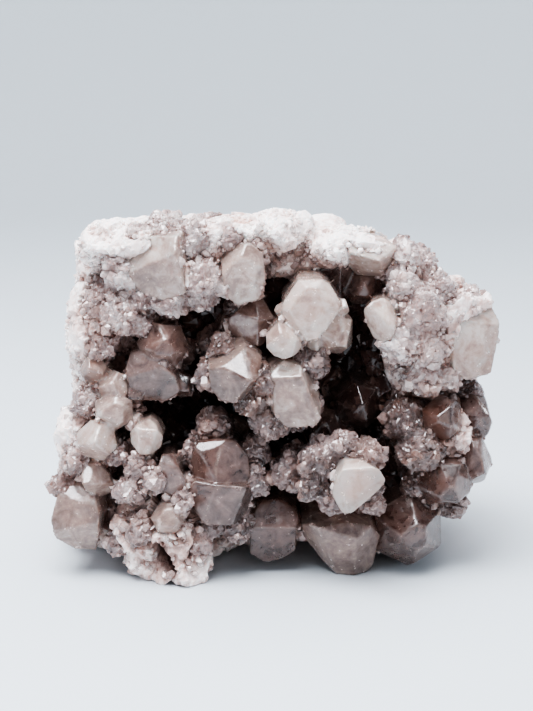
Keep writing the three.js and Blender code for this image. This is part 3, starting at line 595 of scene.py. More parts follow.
def broadCrystal(form):
    axis = axisOf(form["point"])
    rim = [seen(x, y, form["out"]) for x, y in form["rim"]]
    middle = sum(rim) / len(rim) - axis * form["body"] / 2 * mm
    planes = []

    def cutThrough(a, b, c):
        normal = np.cross(b - a, c - a)
        normal /= np.linalg.norm(normal)
        if normal @ (middle - a) > 0:
            normal = -normal
        planes.append((normal, normal @ a))

    for first, second in zip(rim, rim[1:] + rim[:1]):
        cutThrough(first, second, first + axis * growth["long"])
    for face in form["tips"]:
        cutThrough(*(seen(*spot) for spot in face))
    planes.append((-axis, -axis @ (middle - axis * form["body"] / 2 * mm)))
    corners, faces = between(planes)
    return corners, faces, axis, middle + axis * form["body"] / 2 * mm


def cutAtTable(corners, faces):
    planes = [((0, 0, -1), -0.05 * mm)]
    for _, loop in faces:
        normal = np.cross(corners[loop[1]] - corners[loop[0]], corners[loop[2]] - corners[loop[1]])
        planes.append((normal, normal @ corners[loop[0]]))
    return between(planes)


def gatherCrystals():
    made = []
    for clump, rows in stoutCrystals.items():
        for row in rows:
            massed = clump in massedClumps and row[:2] not in clearStouts
            look = (massTones if massed and clump in massTones else tones)[clump]
            made.append((clump, massed, look, row[3] * mm, *stoutCrystal(*row)))
    for form in broadCrystals:
        sides = [x for x, _ in form["rim"]]
        width = (max(sides) - min(sides)) / view["perMm"] * mm
        tone, stain = tones[form["clump"]]
        made.append((form["clump"], False, (form.get("tone", tone), stain), width, *broadCrystal(form)))
    crystals = []
    for clump, massed, look, width, corners, faces, axis, spot in made:
        if corners[:, 2].min() < 0:
            corners, faces = cutAtTable(corners, faces)
        planes = []
        for _, loop in faces:
            a, b, c = corners[loop[0]], corners[loop[1]], corners[loop[2]]
            normal = np.cross(b - a, c - b)
            normal /= np.linalg.norm(normal)
            planes.append((*normal, normal @ corners[loop].mean(axis=0)))
        crystals.append({
            "clump": clump, "massed": massed, "look": look, "width": width, "corners": corners,
            "faces": [loop for _, loop in faces], "axis": axis, "spot": spot,
            "planes": np.array(planes), "middle": corners.mean(axis=0),
        })
    return crystals


crystals = gatherCrystals()
print(len(crystals), "crystals laid out")


# Node helpers

def addNode(tree, kind, values=None, **settings):
    made = tree.nodes.new(kind)
    for key, value in settings.items():
        setattr(made, key, value)
    for key, value in (values or {}).items():
        if isinstance(value, bpy.types.NodeSocket):
            tree.links.new(value, made.inputs[key])
        else:
            made.inputs[key].default_value = value
    return made


def mathNode(tree, operation, first, second=0.0, clamp=False):
    made = addNode(tree, "ShaderNodeMath", {0: first, 1: second}, operation=operation, use_clamp=clamp)
    return made.outputs[0]


def mixColor(tree, factor, first, second):
    made = addNode(tree, "ShaderNodeMix", {0: factor, 6: first, 7: second}, data_type="RGBA")
    return made.outputs[2]


def vectorNode(tree, operation, first, second):
    return addNode(tree, "ShaderNodeVectorMath", {0: first, 1: second}, operation=operation)


def spread(tree, value, low, high, toLow=0.0, toHigh=1.0):
    values = {"Value": value, "From Min": low, "From Max": high, "To Min": toLow, "To Max": toHigh}
    return addNode(tree, "ShaderNodeMapRange", values, clamp=True).outputs["Result"]


def noiseNode(tree, where, scale, detail=3.0, roughness=0.5, distortion=0.0):
    values = {
        "Vector": where, "Scale": scale, "Detail": detail, "Roughness": roughness, "Distortion": distortion,
    }
    return addNode(tree, "ShaderNodeTexNoise", values).outputs[0]


def addSockets(tree, direction, sockets):
    for name, kind in sockets.items():
        tree.interface.new_socket(name=name, in_out=direction, socket_type=f"NodeSocket{kind}")


def linear(red, green, blue):  # an 8-bit colour to the renderer's linear values
    parts = [c / 255 for c in (red, green, blue)]
    return tuple(c / 12.92 if c <= 0.04045 else ((c + 0.055) / 1.055) ** 2.4 for c in parts) + (1.0,)


# The colouring that every quartz here shares. Each mesh carries its tone, from creamy white to dim
# grey-brown, with painted shade worked into it on the rock and crystals, its iron stain and its frost, the
# bruised white of worn edges.

def makeQuartzCloud():
    tree = bpy.data.node_groups.new("quartzCloud", "ShaderNodeTree")
    addSockets(tree, "INPUT", {
        "White": "Color", "Pale": "Color", "Dim": "Color", "Stain": "Color", "Cloud Scale": "Float",
        "Clouding": "Float", "Flecks": "Float", "Rough": "Float", "Fine": "Float", "Facet Scale": "Float",
        "Facets": "Float",
    })
    addSockets(tree, "OUTPUT", {"Color": "Color", "Roughness": "Float", "Height": "Float"})
    given = tree.nodes.new("NodeGroupInput").outputs
    where = tree.nodes.new("ShaderNodeTexCoord").outputs["Object"]
    tone, stain, frost = (
        addNode(tree, "ShaderNodeAttribute", attribute_name=name).outputs["Fac"]
        for name in ("tone", "stain", "frost")
    )
    cloud = noiseNode(tree, where, given["Cloud Scale"], 6.0, 0.68, 0.9)
    fleck = noiseNode(tree, where, 480.0, 4.0, 0.62)
    patch = noiseNode(tree, where, 70.0, 3.0, 0.55, 0.4)
    grain = noiseNode(tree, where, 1700.0, 2.0, 0.6)
    cellValues = {"Vector": where, "Scale": given["Facet Scale"]}
    cells = addNode(tree, "ShaderNodeTexVoronoi", cellValues, feature="F1")

    drift = mathNode(tree, "MULTIPLY", spread(tree, cloud, 0.3, 0.7, -0.5, 0.5), given["Clouding"])
    speckle = mathNode(tree, "MULTIPLY", spread(tree, fleck, 0.3, 0.7, 0.5, -0.5), given["Flecks"])
    shade = mathNode(tree, "ADD", mathNode(tree, "ADD", tone, drift), speckle, True)
    base = mixColor(tree, spread(tree, shade, 0.0, 0.4), given["White"], given["Pale"])
    base = mixColor(tree, spread(tree, shade, 0.35, 1.0), base, given["Dim"])
    stained = mathNode(tree, "MULTIPLY", spread(tree, patch, 0.42, 0.66), stain, True)
    base = mixColor(tree, stained, base, given["Stain"])
    base = mixColor(tree, mathNode(tree, "MULTIPLY", frost, 0.6, True), base, given["White"])

    rough = mathNode(tree, "ADD", given["Rough"], spread(tree, fleck, 0.35, 0.7, -0.06, 0.12))
    rough = mathNode(tree, "ADD", rough, mathNode(tree, "MULTIPLY", frost, 0.15), True)

    # Small tilted flats, each cell of the rock turned its own way
    off = vectorNode(tree, "SUBTRACT", where, cells.outputs["Position"]).outputs[0]
    turn = vectorNode(tree, "SUBTRACT", cells.outputs["Color"], (0.5, 0.5, 0.5)).outputs[0]
    slope = vectorNode(tree, "DOT_PRODUCT", off, turn).outputs["Value"]
    flats = mathNode(tree, "MULTIPLY", mathNode(tree, "MULTIPLY", slope, 1000.0), given["Facets"])
    height = mathNode(tree, "ADD", flats, mathNode(tree, "MULTIPLY", fleck, given["Fine"]))
    finest = mathNode(tree, "MULTIPLY", grain, mathNode(tree, "MULTIPLY", given["Fine"], 0.4))
    height = mathNode(tree, "ADD", height, finest)

    put = tree.nodes.new("NodeGroupOutput").inputs
    for socket, value in (("Color", base), ("Roughness", rough), ("Height", height)):
        tree.links.new(value, put[socket])
    return tree


quartzCloud = makeQuartzCloud()

# Each finish's rim is the strength of its painted rim light, which whitens the colour at grazing angles
finishes = {
    "paleQuartz": {
        "White": linear(242, 229, 220), "Pale": linear(202, 174, 162), "Dim": linear(98, 66, 58),
        "Stain": linear(192, 136, 108), "Cloud Scale": 130.0, "Clouding": 0.75,
        "Flecks": 0.35, "Rough": 0.17, "Fine": 0.3, "Facet Scale": 260.0, "Facets": 0.0,
        "milk": 0.65, "depth": 1.5, "clear": 0.55, "relief": 0.4, "coat": 0.9, "rim": 0.35,
    },
    "smokyQuartz": {
        "White": linear(216, 198, 189), "Pale": linear(164, 134, 125), "Dim": linear(70, 46, 42),
        "Stain": linear(148, 94, 72), "Cloud Scale": 140.0, "Clouding": 0.8,
        "Flecks": 0.35, "Rough": 0.17, "Fine": 0.3, "Facet Scale": 280.0, "Facets": 0.0,
        "milk": 0.5, "depth": 1.2, "clear": 0.55, "relief": 0.4, "coat": 0.9, "rim": 0.24,
    },
    "massedQuartz": {
        "White": linear(236, 223, 219), "Pale": linear(186, 159, 153), "Dim": linear(74, 52, 48),
        "Stain": linear(176, 126, 104), "Cloud Scale": 160.0, "Clouding": 0.6,
        "Flecks": 0.3, "Rough": 0.16, "Fine": 0.35, "Facet Scale": 430.0, "Facets": 0.35,
        "milk": 0.5, "depth": 1.1, "clear": 0.42, "relief": 0.5, "coat": 0.85, "rim": 0.25,
    },
    "sugarQuartz": {
        "White": linear(240, 227, 222), "Pale": linear(190, 163, 156), "Dim": linear(76, 54, 50),
        "Stain": linear(180, 130, 106), "Cloud Scale": 170.0, "Clouding": 0.5,
        "Flecks": 0.2, "Rough": 0.22, "Fine": 0.3, "Facet Scale": 500.0, "Facets": 0.1,
        "milk": 0.3, "depth": 0.6, "clear": 0.3, "relief": 0.35, "coat": 0.9, "rim": 0.25,
    },
    "paleRock": {
        "White": linear(246, 236, 232), "Pale": linear(204, 175, 166), "Dim": linear(84, 58, 52),
        "Stain": linear(198, 134, 104), "Cloud Scale": 90.0, "Clouding": 0.5,
        "Flecks": 0.3, "Rough": 0.42, "Fine": 0.5, "Facet Scale": 620.0, "Facets": 0.5,
        "milk": 0.5, "depth": 1.2, "clear": 0.0, "relief": 0.6, "coat": 0.0, "rim": 0.1,
    },
    # The hollow's quartz is coloured dark, painted shade of the deep hollow, with its iron stain
    "cavityQuartzPaintedShade": {
        "White": linear(156, 130, 122), "Pale": linear(104, 78, 72), "Dim": linear(42, 28, 26),
        "Stain": linear(80, 50, 40), "Cloud Scale": 120.0, "Clouding": 0.5,
        "Flecks": 0.3, "Rough": 0.2, "Fine": 0.4, "Facet Scale": 400.0, "Facets": 0.2,
        "milk": 0.25, "depth": 1.5, "clear": 0.2, "relief": 0.3, "coat": 0.5, "rim": 0.2,
    },
}


def makeFinish(name, look):
    material = bpy.data.materials.new(name)
    material.use_nodes = True
    tree = material.node_tree
    shader = tree.nodes["Principled BSDF"]
    cloud = addNode(tree, "ShaderNodeGroup", node_tree=quartzCloud)
    for socket in cloud.inputs:
        socket.default_value = look[socket.name]
    # Painted rim light: the colour turns towards White at grazing angles, as much as the finish's rim says
    facing = addNode(tree, "ShaderNodeLayerWeight", {"Blend": 0.45}).outputs["Facing"]
    paintedRimLight = mathNode(tree, "MULTIPLY", facing, look["rim"])
    tree.links.new(mixColor(tree, paintedRimLight, cloud.outputs["Color"], look["White"]), shader.inputs["Base Color"])
    tree.links.new(cloud.outputs["Roughness"], shader.inputs["Roughness"])
    values = {"Height": cloud.outputs["Height"], "Strength": look["relief"], "Distance": 1.0 * mm}
    tree.links.new(addNode(tree, "ShaderNodeBump", values).outputs["Normal"], shader.inputs["Normal"])
    settings = {
        "IOR": 1.54, "Subsurface Weight": look["milk"], "Subsurface Radius": (1.0, 0.78, 0.7),
        "Subsurface Scale": look["depth"] * mm, "Transmission Weight": look["clear"],
        "Coat Weight": look["coat"], "Coat Roughness": 0.1,
    }
    for socket, value in settings.items():
        shader.inputs[socket].default_value = value
    return material


materials = {name: makeFinish(name, look) for name, look in finishes.items()}
print("materials made")


# Meshes

def addObject(name, data):
    thing = bpy.data.objects.new(name, data)
    bpy.context.scene.collection.objects.link(thing)
    return thing


def newObject(name, mesh, finishName):
    mesh.materials.clear()
    mesh.materials.append(materials[finishName])
    return addObject(name, mesh)


def meshFrom(made, name):
    mesh = bpy.data.meshes.new(name)
    made.to_mesh(mesh)
    made.free()
    return mesh


def applyModifiers(thing):  # the object's mesh becomes what its modifiers make
    bpy.context.view_layer.update()
    graph = bpy.context.evaluated_depsgraph_get()
    mesh, old = bpy.data.meshes.new_from_object(thing.evaluated_get(graph)), thing.data
    thing.modifiers.clear()
    kept = list(old.materials)
    thing.data = mesh
    bpy.data.meshes.remove(old)
    mesh.materials.clear()
    for material in kept:
        mesh.materials.append(material)
    return mesh


def readVectors(mesh, what):
    flat = np.zeros(len(mesh.vertices) * 3)
    mesh.vertices.foreach_get(what, flat)
    return flat.reshape(-1, 3)


def setPlaces(mesh, places):
    mesh.vertices.foreach_set("co", np.ascontiguousarray(places).ravel())
    mesh.update()


def setValues(mesh, name, values):
    made = mesh.attributes.get(name) or mesh.attributes.new(name, "FLOAT", "POINT")
    made.data.foreach_set("value", np.ascontiguousarray(values, dtype=np.float32))


def noiseAt(places, pitch, seed=0.0):
    shift = Vector((seed, 0, 0))
    return np.array([noise.noise(Vector(p) + shift) for p in places / pitch])


def brokenAt(places, pitch, seed):  # tilted flats with steps between them, as on broken rock, from -1 to 1
    rng = np.random.default_rng(seed)
    low, high = places.min(axis=0), places.max(axis=0)
    count = int(np.prod(high - low) / pitch ** 3) + 8
    spots = rng.uniform(low, high, (count, 3))
    tilts = rng.normal(size=(count, 3))
    tilts /= np.linalg.norm(tilts, axis=1)[:, None]
    tree = KDTree(count)
    for index, spot in enumerate(spots):
        tree.insert(spot, index)
    tree.balance()
    near = np.array([tree.find(p)[1] for p in places])
    return np.clip(((places - spots[near]) * tilts[near]).sum(axis=1) / pitch * 1.6, -1, 1)


def smooth(low, high, value):
    t = np.clip((value - low) / (high - low), 0, 1)
    return t * t * (3 - 2 * t)


def blob(across, down, x, y, width, height):  # 1 at a place in the picture, falling to 0 around it
    return np.exp(-(((across - x) / width) ** 2 + ((down - y) / height) ** 2))


def hold(piece, slot, *nodes):
    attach(piece, "root")
    if nodes:
        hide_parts(*nodes)


# What stands where on the cluster: its own crystals, or bare matrix

def mergedCopy(node):
    made = bmesh.new()
    made.from_mesh(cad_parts[node].data)
    bmesh.ops.remove_doubles(made, verts=made.verts, dist=0.01 * mm)
    return made


def remeshed(shape, name, finishName, voxel):
    piece = newObject(name, meshFrom(shape, name), finishName)
    modifier = piece.modifiers.new("remesh", "REMESH")
    modifier.mode = "VOXEL"
    modifier.voxel_size = voxel
    applyModifiers(piece)
    return piece


# Which crystal each point is on or in, how far outside it, and on which plane
def ownersOf(places, chosen):
    owner = np.full(len(places), -1)
    outside = np.full(len(places), 1.0)
    plane = np.zeros(len(places), dtype=int)
    for index in chosen:
        one = crystals[index]
        reach = np.linalg.norm(one["corners"] - one["middle"], axis=1).max() + 2 * mm
        near = np.where(np.linalg.norm(places - one["middle"], axis=1) < reach)[0]
        if not len(near):
            continue
        gaps = places[near] @ one["planes"][:, :3].T - one["planes"][:, 3]
        worst = gaps.max(axis=1)
        closer = worst < outside[near]
        owner[near[closer]] = index
        outside[near[closer]] = worst[closer]
        plane[near[closer]] = gaps.argmax(axis=1)[closer]
    return owner, outside, plane


# How open each point is to the air, from 0 in a crevice to 1 on a bare point; the rock's painted crevice
# shade follows it

air = {"rays": 14, "reach": 22 * mm, "lift": 0.5 * mm, "outward": 1.02, "glimpse": 0.6}


def airTree():
    verts, faces = [], []
    for node in ("crystal_cluster", "hollow_crust"):
        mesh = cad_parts[node].data
        start = len(verts)
        verts += [v.co.copy() for v in mesh.vertices]
        faces += [[start + i for i in p.vertices] for p in mesh.polygons]
    return BVHTree.FromPolygons(verts, faces)


solids = airTree()


def opennessOf(places, outward):
    rng = np.random.default_rng(5)
    rays = rng.normal(size=(air["rays"], 3))
    rays /= np.linalg.norm(rays, axis=1)[:, None]
    share = np.zeros(len(places))
    for index, (place, normal) in enumerate(zip(places, outward)):
        start = Vector(place + normal * air["lift"])
        free = 0.0
        for ray in rays:
            aim = Vector(ray + normal * air["outward"])
            hit = solids.ray_cast(start, aim, air["reach"])
            free += 1.0 if hit[0] is None else air["glimpse"] * min(hit[3] / air["reach"], 1)
        share[index] = free / air["rays"]
    return share


# The matrix: the solid with a broken, grainy skin, sunk away under each crystal so that it shows through

rock = {
    "voxel": 1.13 * mm, "lump": 0.7 * mm, "lumpPitch": 9 * mm, "grain": 0.55 * mm, "grainPitch": 1.9 * mm,
    "broken": 1.1 * mm, "brokenPitch": 7 * mm, "inset": 0.35, "sink": 0.3, "floor": 0.03 * mm,
    "spare": 2.0 * mm,
    "footBroken": 1.2 * mm, "footSwell": 2.2 * mm, "rear": 2 * mm, "near": 0.6 * mm, "cover": 1.6 * mm,
    "cleft": ((156, 548), (168, 571)), "cleftWidth": 5, "cleftDepth": 7 * mm,
    "foot": (165, 550, 55, 35), "swell": (152, 492, 34, 26), "leftWall": (62, 330, 25, 120),
}
ground = remeshed(mergedCopy("crystal_cluster"), "ground", "paleRock", rock["voxel"])
groundPlaces, groundNormals = readVectors(ground.data, "co"), readVectors(ground.data, "normal")
owner, outside, plane = ownersOf(groundPlaces, range(len(crystals)))
behind = (owner >= 0) & (groundPlaces[:, 1] > rock["rear"])  # the crystals' back ends lie under rock
owner[(outside > rock["near"]) | behind] = -1
massed = np.array([c["massed"] for c in crystals] + [False])[owner]
clumps = np.array([c["clump"] for c in crystals] + ["bare"])[owner]
onCrystal = owner >= 0
openness = opennessOf(groundPlaces, groundNormals)
across, down = pictured(groundPlaces)
x, y, z = groundPlaces.T
print("ground has", len(groundPlaces), "points,", int(onCrystal.sum()), "on crystals")


# Places in the picture darkened with painted shade (the left wall's entry lightens instead) and rusty
# places:
# pixels across and down, half width, half height, and how much
paintedShadePlaces = {
    "right low": (435, 445, 50, 60, 0.3), "under the middle": (290, 490, 90, 60, 0.3),
    "left": (110, 330, 40, 60, 0.15), "under the heart": (260, 425, 50, 30, 0.2),
    "left wall": (55, 330, 30, 150, -0.3),
}
rustPlaces = {
    "under the lid": (262, 246, 16, 8, 0.8), "rim": (240, 221, 24, 5, 0.6),
    "upper left": (103, 272, 9, 9, 0.7), "heart": (255, 430, 50, 30, 0.4),
    "front": (330, 480, 50, 40, 0.25), "right": (430, 370, 60, 60, 0.3),
}


def toneAndShadeOf(places, free):  # tone with painted shade and light, and stain, for rock and druse points
    across, down = pictured(places)
    # Painted shade and light: darker the less open a point is and in the shaded places above, lighter on
    # top of the block
    tone = 0.95 - 0.72 * smooth(0.1, 0.85, free)
    tone += sum(much * blob(across, down, *place) for *place, much in paintedShadePlaces.values())
    tone -= 0.3 * smooth(0.094, 0.106, places[:, 2])
    tone += 0.25 * noiseAt(places, 9 * mm, 2.0) + 0.15 * noiseAt(places, 3 * mm, 7.0)
    stain = 0.15 + sum(much * blob(across, down, *place) for *place, much in rustPlaces.values())
    return np.clip(tone, 0, 1), np.clip(stain, 0, 1)


groundToneAndShade, groundStain = toneAndShadeOf(groundPlaces, openness)
foot = blob(across, down, *rock["foot"]) * (y < -0.01)


def sinkUnderCrystals(places):
    sunk = places.copy()
    for index, one in enumerate(crystals):
        mine = np.where(owner == index)[0]
        if not len(mine):
            continue
        off = places[mine] - one["spot"]
        along = (off @ one["axis"])[:, None] * one["axis"]
        back = one["axis"] * one["width"] * rock["sink"]
        sunk[mine] = one["spot"] + along + (off - along) * (1 - rock["inset"]) - back
    return sunk


def keepInside(places, spare):
    inside = np.clip(places, np.array(cadLow) - spare, np.array(cadHigh) + spare)
    inside[:, 2] = np.maximum(inside[:, 2], rock["floor"])
    return inside


def cleftAt(across, down):  # 1 along the foot's cleft, seen from the front
    start, end = (np.array(p, dtype=float) for p in rock["cleft"])
    along, spots = end - start, np.stack([across, down], axis=1)
    share = np.clip((spots - start) @ along / (along @ along), 0, 1)
    off = np.linalg.norm(spots - start - share[:, None] * along, axis=1)
    return np.exp(-(off / rock["cleftWidth"]) ** 2)


def cleftIn(places):  # the same for points, on the foot's front alone
    return cleftAt(*pictured(places)) * (places[:, 1] < -0.005) * (places[:, 2] < 0.03)


def makeMatrix():
    piece = newObject("matrix_rock", ground.data.copy(), "paleRock")
    lumps = noiseAt(groundPlaces, rock["lumpPitch"], 3.0)
    grains = np.abs(noiseAt(groundPlaces, rock["grainPitch"], 11.0))
    broken = brokenAt(groundPlaces, rock["brokenPitch"], 3)
    broken += 0.4 * brokenAt(groundPlaces, rock["brokenPitch"] / 2, 4)
    cleft = cleftIn(groundPlaces)
    push = rock["lump"] * lumps + rock["grain"] * (grains - 0.15) + rock["broken"] * broken
    push += rock["footBroken"] * broken * foot
    push += rock["footSwell"] * blob(across, down, *rock["swell"]) * (y < 0)
    push = np.where(behind, rock["cover"] + 0.4 * np.abs(push), np.where(onCrystal, 0, push))
    push = (push - rock["cleftDepth"] * cleft)[:, None]
    pushed = groundPlaces + groundNormals * push
    places = np.where(onCrystal[:, None], sinkUnderCrystals(groundPlaces), pushed)
    setPlaces(piece.data, keepInside(places, rock["spare"]))
    tone = np.where(onCrystal, 0.5 * groundToneAndShade, groundToneAndShade) - 0.25 * (grains - 0.25)
    # Painted shade darkens the foot's cleft
    tone += 1.3 * cleft - 0.12 * broken
    setValues(piece.data, "tone", np.clip(tone, 0, 1))
    setValues(piece.data, "stain", groundStain)
    piece.data.shade_flat()
    hold(piece, "matrix_rock", "crystal_cluster")


makeMatrix()

lining = {
    "voxel": 1.1 * mm, "lump": 0.7 * mm, "lumpPitch": 6 * mm, "grain": 0.5 * mm, "grainPitch": 2.5 * mm,
}
hollowLining = remeshed(mergedCopy("hollow_crust"), "hollow_lining", "cavityQuartzPaintedShade", lining["voxel"])


def roughenLining(mesh):
    places, outward = readVectors(mesh, "co"), readVectors(mesh, "normal")
    push = lining["lump"] * noiseAt(places, lining["lumpPitch"], 3.0)
    push += lining["grain"] * np.abs(noiseAt(places, lining["grainPitch"], 8.0))
    setPlaces(mesh, keepInside(places + outward * push[:, None], 0))
    # The lining's tone is set dim all over, painted shade of the deep hollow
    setValues(mesh, "tone", np.clip(0.8 + 0.25 * noiseAt(places, 8 * mm, 4.0), 0, 1))
    setValues(mesh, "stain", np.full(len(places), 0.4))
    mesh.shade_smooth()


roughenLining(hollowLining.data)
hold(hollowLining, "druse", "hollow_crust")
print("matrix and lining made")


# The stout and broad crystals, with worn edges, uneven faces and small growth steps

wear = {
    "voxel": 0.67 * mm, "edge": 0.09 * mm, "ripple": 0.1 * mm, "ripplePitch": 3.5 * mm, "step": 0.1 * mm,
    "stepPitch": 5 * mm, "broken": 0, "brokenPitch": 3 * mm, "frost": 0.5, "frostReach": 0.4 * mm,
}
massWear = dict(
    wear, voxel=0.72 * mm, edge=0.5 * mm, ripple=0.4 * mm, ripplePitch=3 * mm, broken=0.75 * mm, frost=0.2
)


# How far outside the worn crystal points are, which way is outward, and how far the nearest edge is
def wornSurface(places, one, rounding):
    normals, offsets = one["planes"][:, :3], one["planes"][:, 3]
    gaps = places @ normals.T - offsets
    worst = gaps.max(axis=1)
    shares = np.exp((gaps - worst[:, None]) / rounding)
    total = shares.sum(axis=1)
    outward = shares @ normals / total[:, None]
    outward /= np.linalg.norm(outward, axis=1)[:, None]
    return worst + rounding * np.log(total), outward, worst - np.sort(gaps, axis=1)[:, -2]


def addCrystals(name, slot, finishName, chosen, worn):
    whole = bmesh.new()
    for index in chosen:
        corners = [whole.verts.new(c) for c in crystals[index]["corners"]]
        for loop in crystals[index]["faces"]:
            whole.faces.new([corners[i] for i in loop])
    piece = remeshed(whole, name, finishName, worn["voxel"])
    places = readVectors(piece.data, "co")
    owner, _, plane = ownersOf(places, chosen)
    uneven = worn["ripple"] * noiseAt(places, worn["ripplePitch"], 31.0)
    uneven += worn["step"] * np.floor(3 * noiseAt(places, worn["stepPitch"], 17.0)) / 2
    if worn["broken"]:
        uneven += worn["broken"] * brokenAt(places, worn["brokenPitch"], 21)
        uneven += 0.4 * worn["broken"] * brokenAt(places, 0.55 * worn["brokenPitch"], 22)
    cleft = cleftIn(places)
    uneven += rock["cleftDepth"] * cleft
    tone, stain, frost = (np.zeros(len(places)) for _ in range(3))
    for index in chosen:
        mine, one = np.where(owner == index)[0], crystals[index]
        if not len(mine):
            continue
        for _ in range(2):
            gap, outward, edge = wornSurface(places[mine], one, worn["edge"])
            places[mine] -= outward * (gap + uneven[mine])[:, None]
        roll = dice(index * 37 + 5)
        own, iron = one["look"]
        own += roll(-0.12, 0.12)
        facets = np.array([roll(-0.16, 0.16) for _ in one["planes"]])
        # Painted shade: each crystal darkens towards its base, where it sinks into the cluster
        back = np.maximum(0, (one["spot"] - places[mine]) @ one["axis"]) / one["width"]
        tone[mine] = own + facets[plane[mine]] + 0.3 * np.minimum(back, 1.5)
        stain[mine] = iron * roll(0.4, 1.4)
        frost[mine] = worn["frost"] * smooth(worn["frostReach"], 0, edge)
    frost *= smooth(-0.5, 0.5, noiseAt(places, 4 * mm, 3.0))
    setPlaces(piece.data, keepInside(places, rock["spare"]))
    # Painted shade darkens the foot's cleft
    setValues(piece.data, "tone", np.clip(tone + 1.2 * cleft, 0, 1))
    setValues(piece.data, "stain", np.clip(stain, 0, 1))
    setValues(piece.data, "frost", frost)
    if worn["broken"]:
        piece.data.shade_flat()
    else:
        piece.data.shade_smooth()
    hold(piece, slot)
    print(name, 2 * len(piece.data.polygons), "triangles")


single = [i for i, c in enumerate(crystals) if not c["massed"]]
pale = [i for i in single if crystals[i]["clump"] not in smokyClumps]
addCrystals("pale_crystals", "pale_quartz", "paleQuartz", pale, wear)
addCrystals("smoky_crystals", "smoky_quartz", "smokyQuartz", [i for i in single if i not in pale], wear)
together = [i for i, c in enumerate(crystals) if c["massed"]]
addCrystals("massed_crystals", "pale_quartz", "massedQuartz", together, massWear)


# Small crystals, scattered over a ground mesh wherever its cover says so

def drusePoint(name, sides, tips, lean, cap):
    made = bmesh.new()
    rings = []
    for height, radius in ((-0.7, 0.44), (0.05, 0.5)):
        rings.append([made.verts.new((
            radius * math.cos(i * math.tau / sides), radius * math.sin(i * math.tau / sides),
            height if height < 0 else height + tips[i],
        )) for i in range(sides)])
    turns = [i * math.tau / 3 for i in range(3)] if cap else [0]
    top = [made.verts.new((lean + cap * math.cos(a), cap * math.sin(a), 0.5 - cap / 3)) for a in turns]
    if cap:
        made.faces.new(top)
    for i in range(sides):
        j = (i + 1) % sides
        made.faces.new((rings[0][i], rings[0][j], rings[1][j], rings[1][i]))
        first, second = (top[round(k * len(top) / sides) % len(top)] for k in (i, i + 1))
        made.faces.new((rings[1][i], rings[1][j], *((second,) if first == second else (second, first))))
    made.faces.new(rings[0][::-1])
    bmesh.ops.recalc_face_normals(made, faces=made.faces)
    return newObject(name, meshFrom(made, name), "sugarQuartz")


drusePoints = [
    drusePoint("druse_point", 6, (0, 0.1, 0, 0.1, 0, 0.1), 0.06, 0),
    drusePoint("druse_uneven", 5, (0.12, -0.1, 0.1, -0.05, 0.1), -0.1, 0.1),
    drusePoint("druse_blunt", 6, (0, 0.05, 0.1, 0.05, 0, 0), 0.04, 0.16),
]


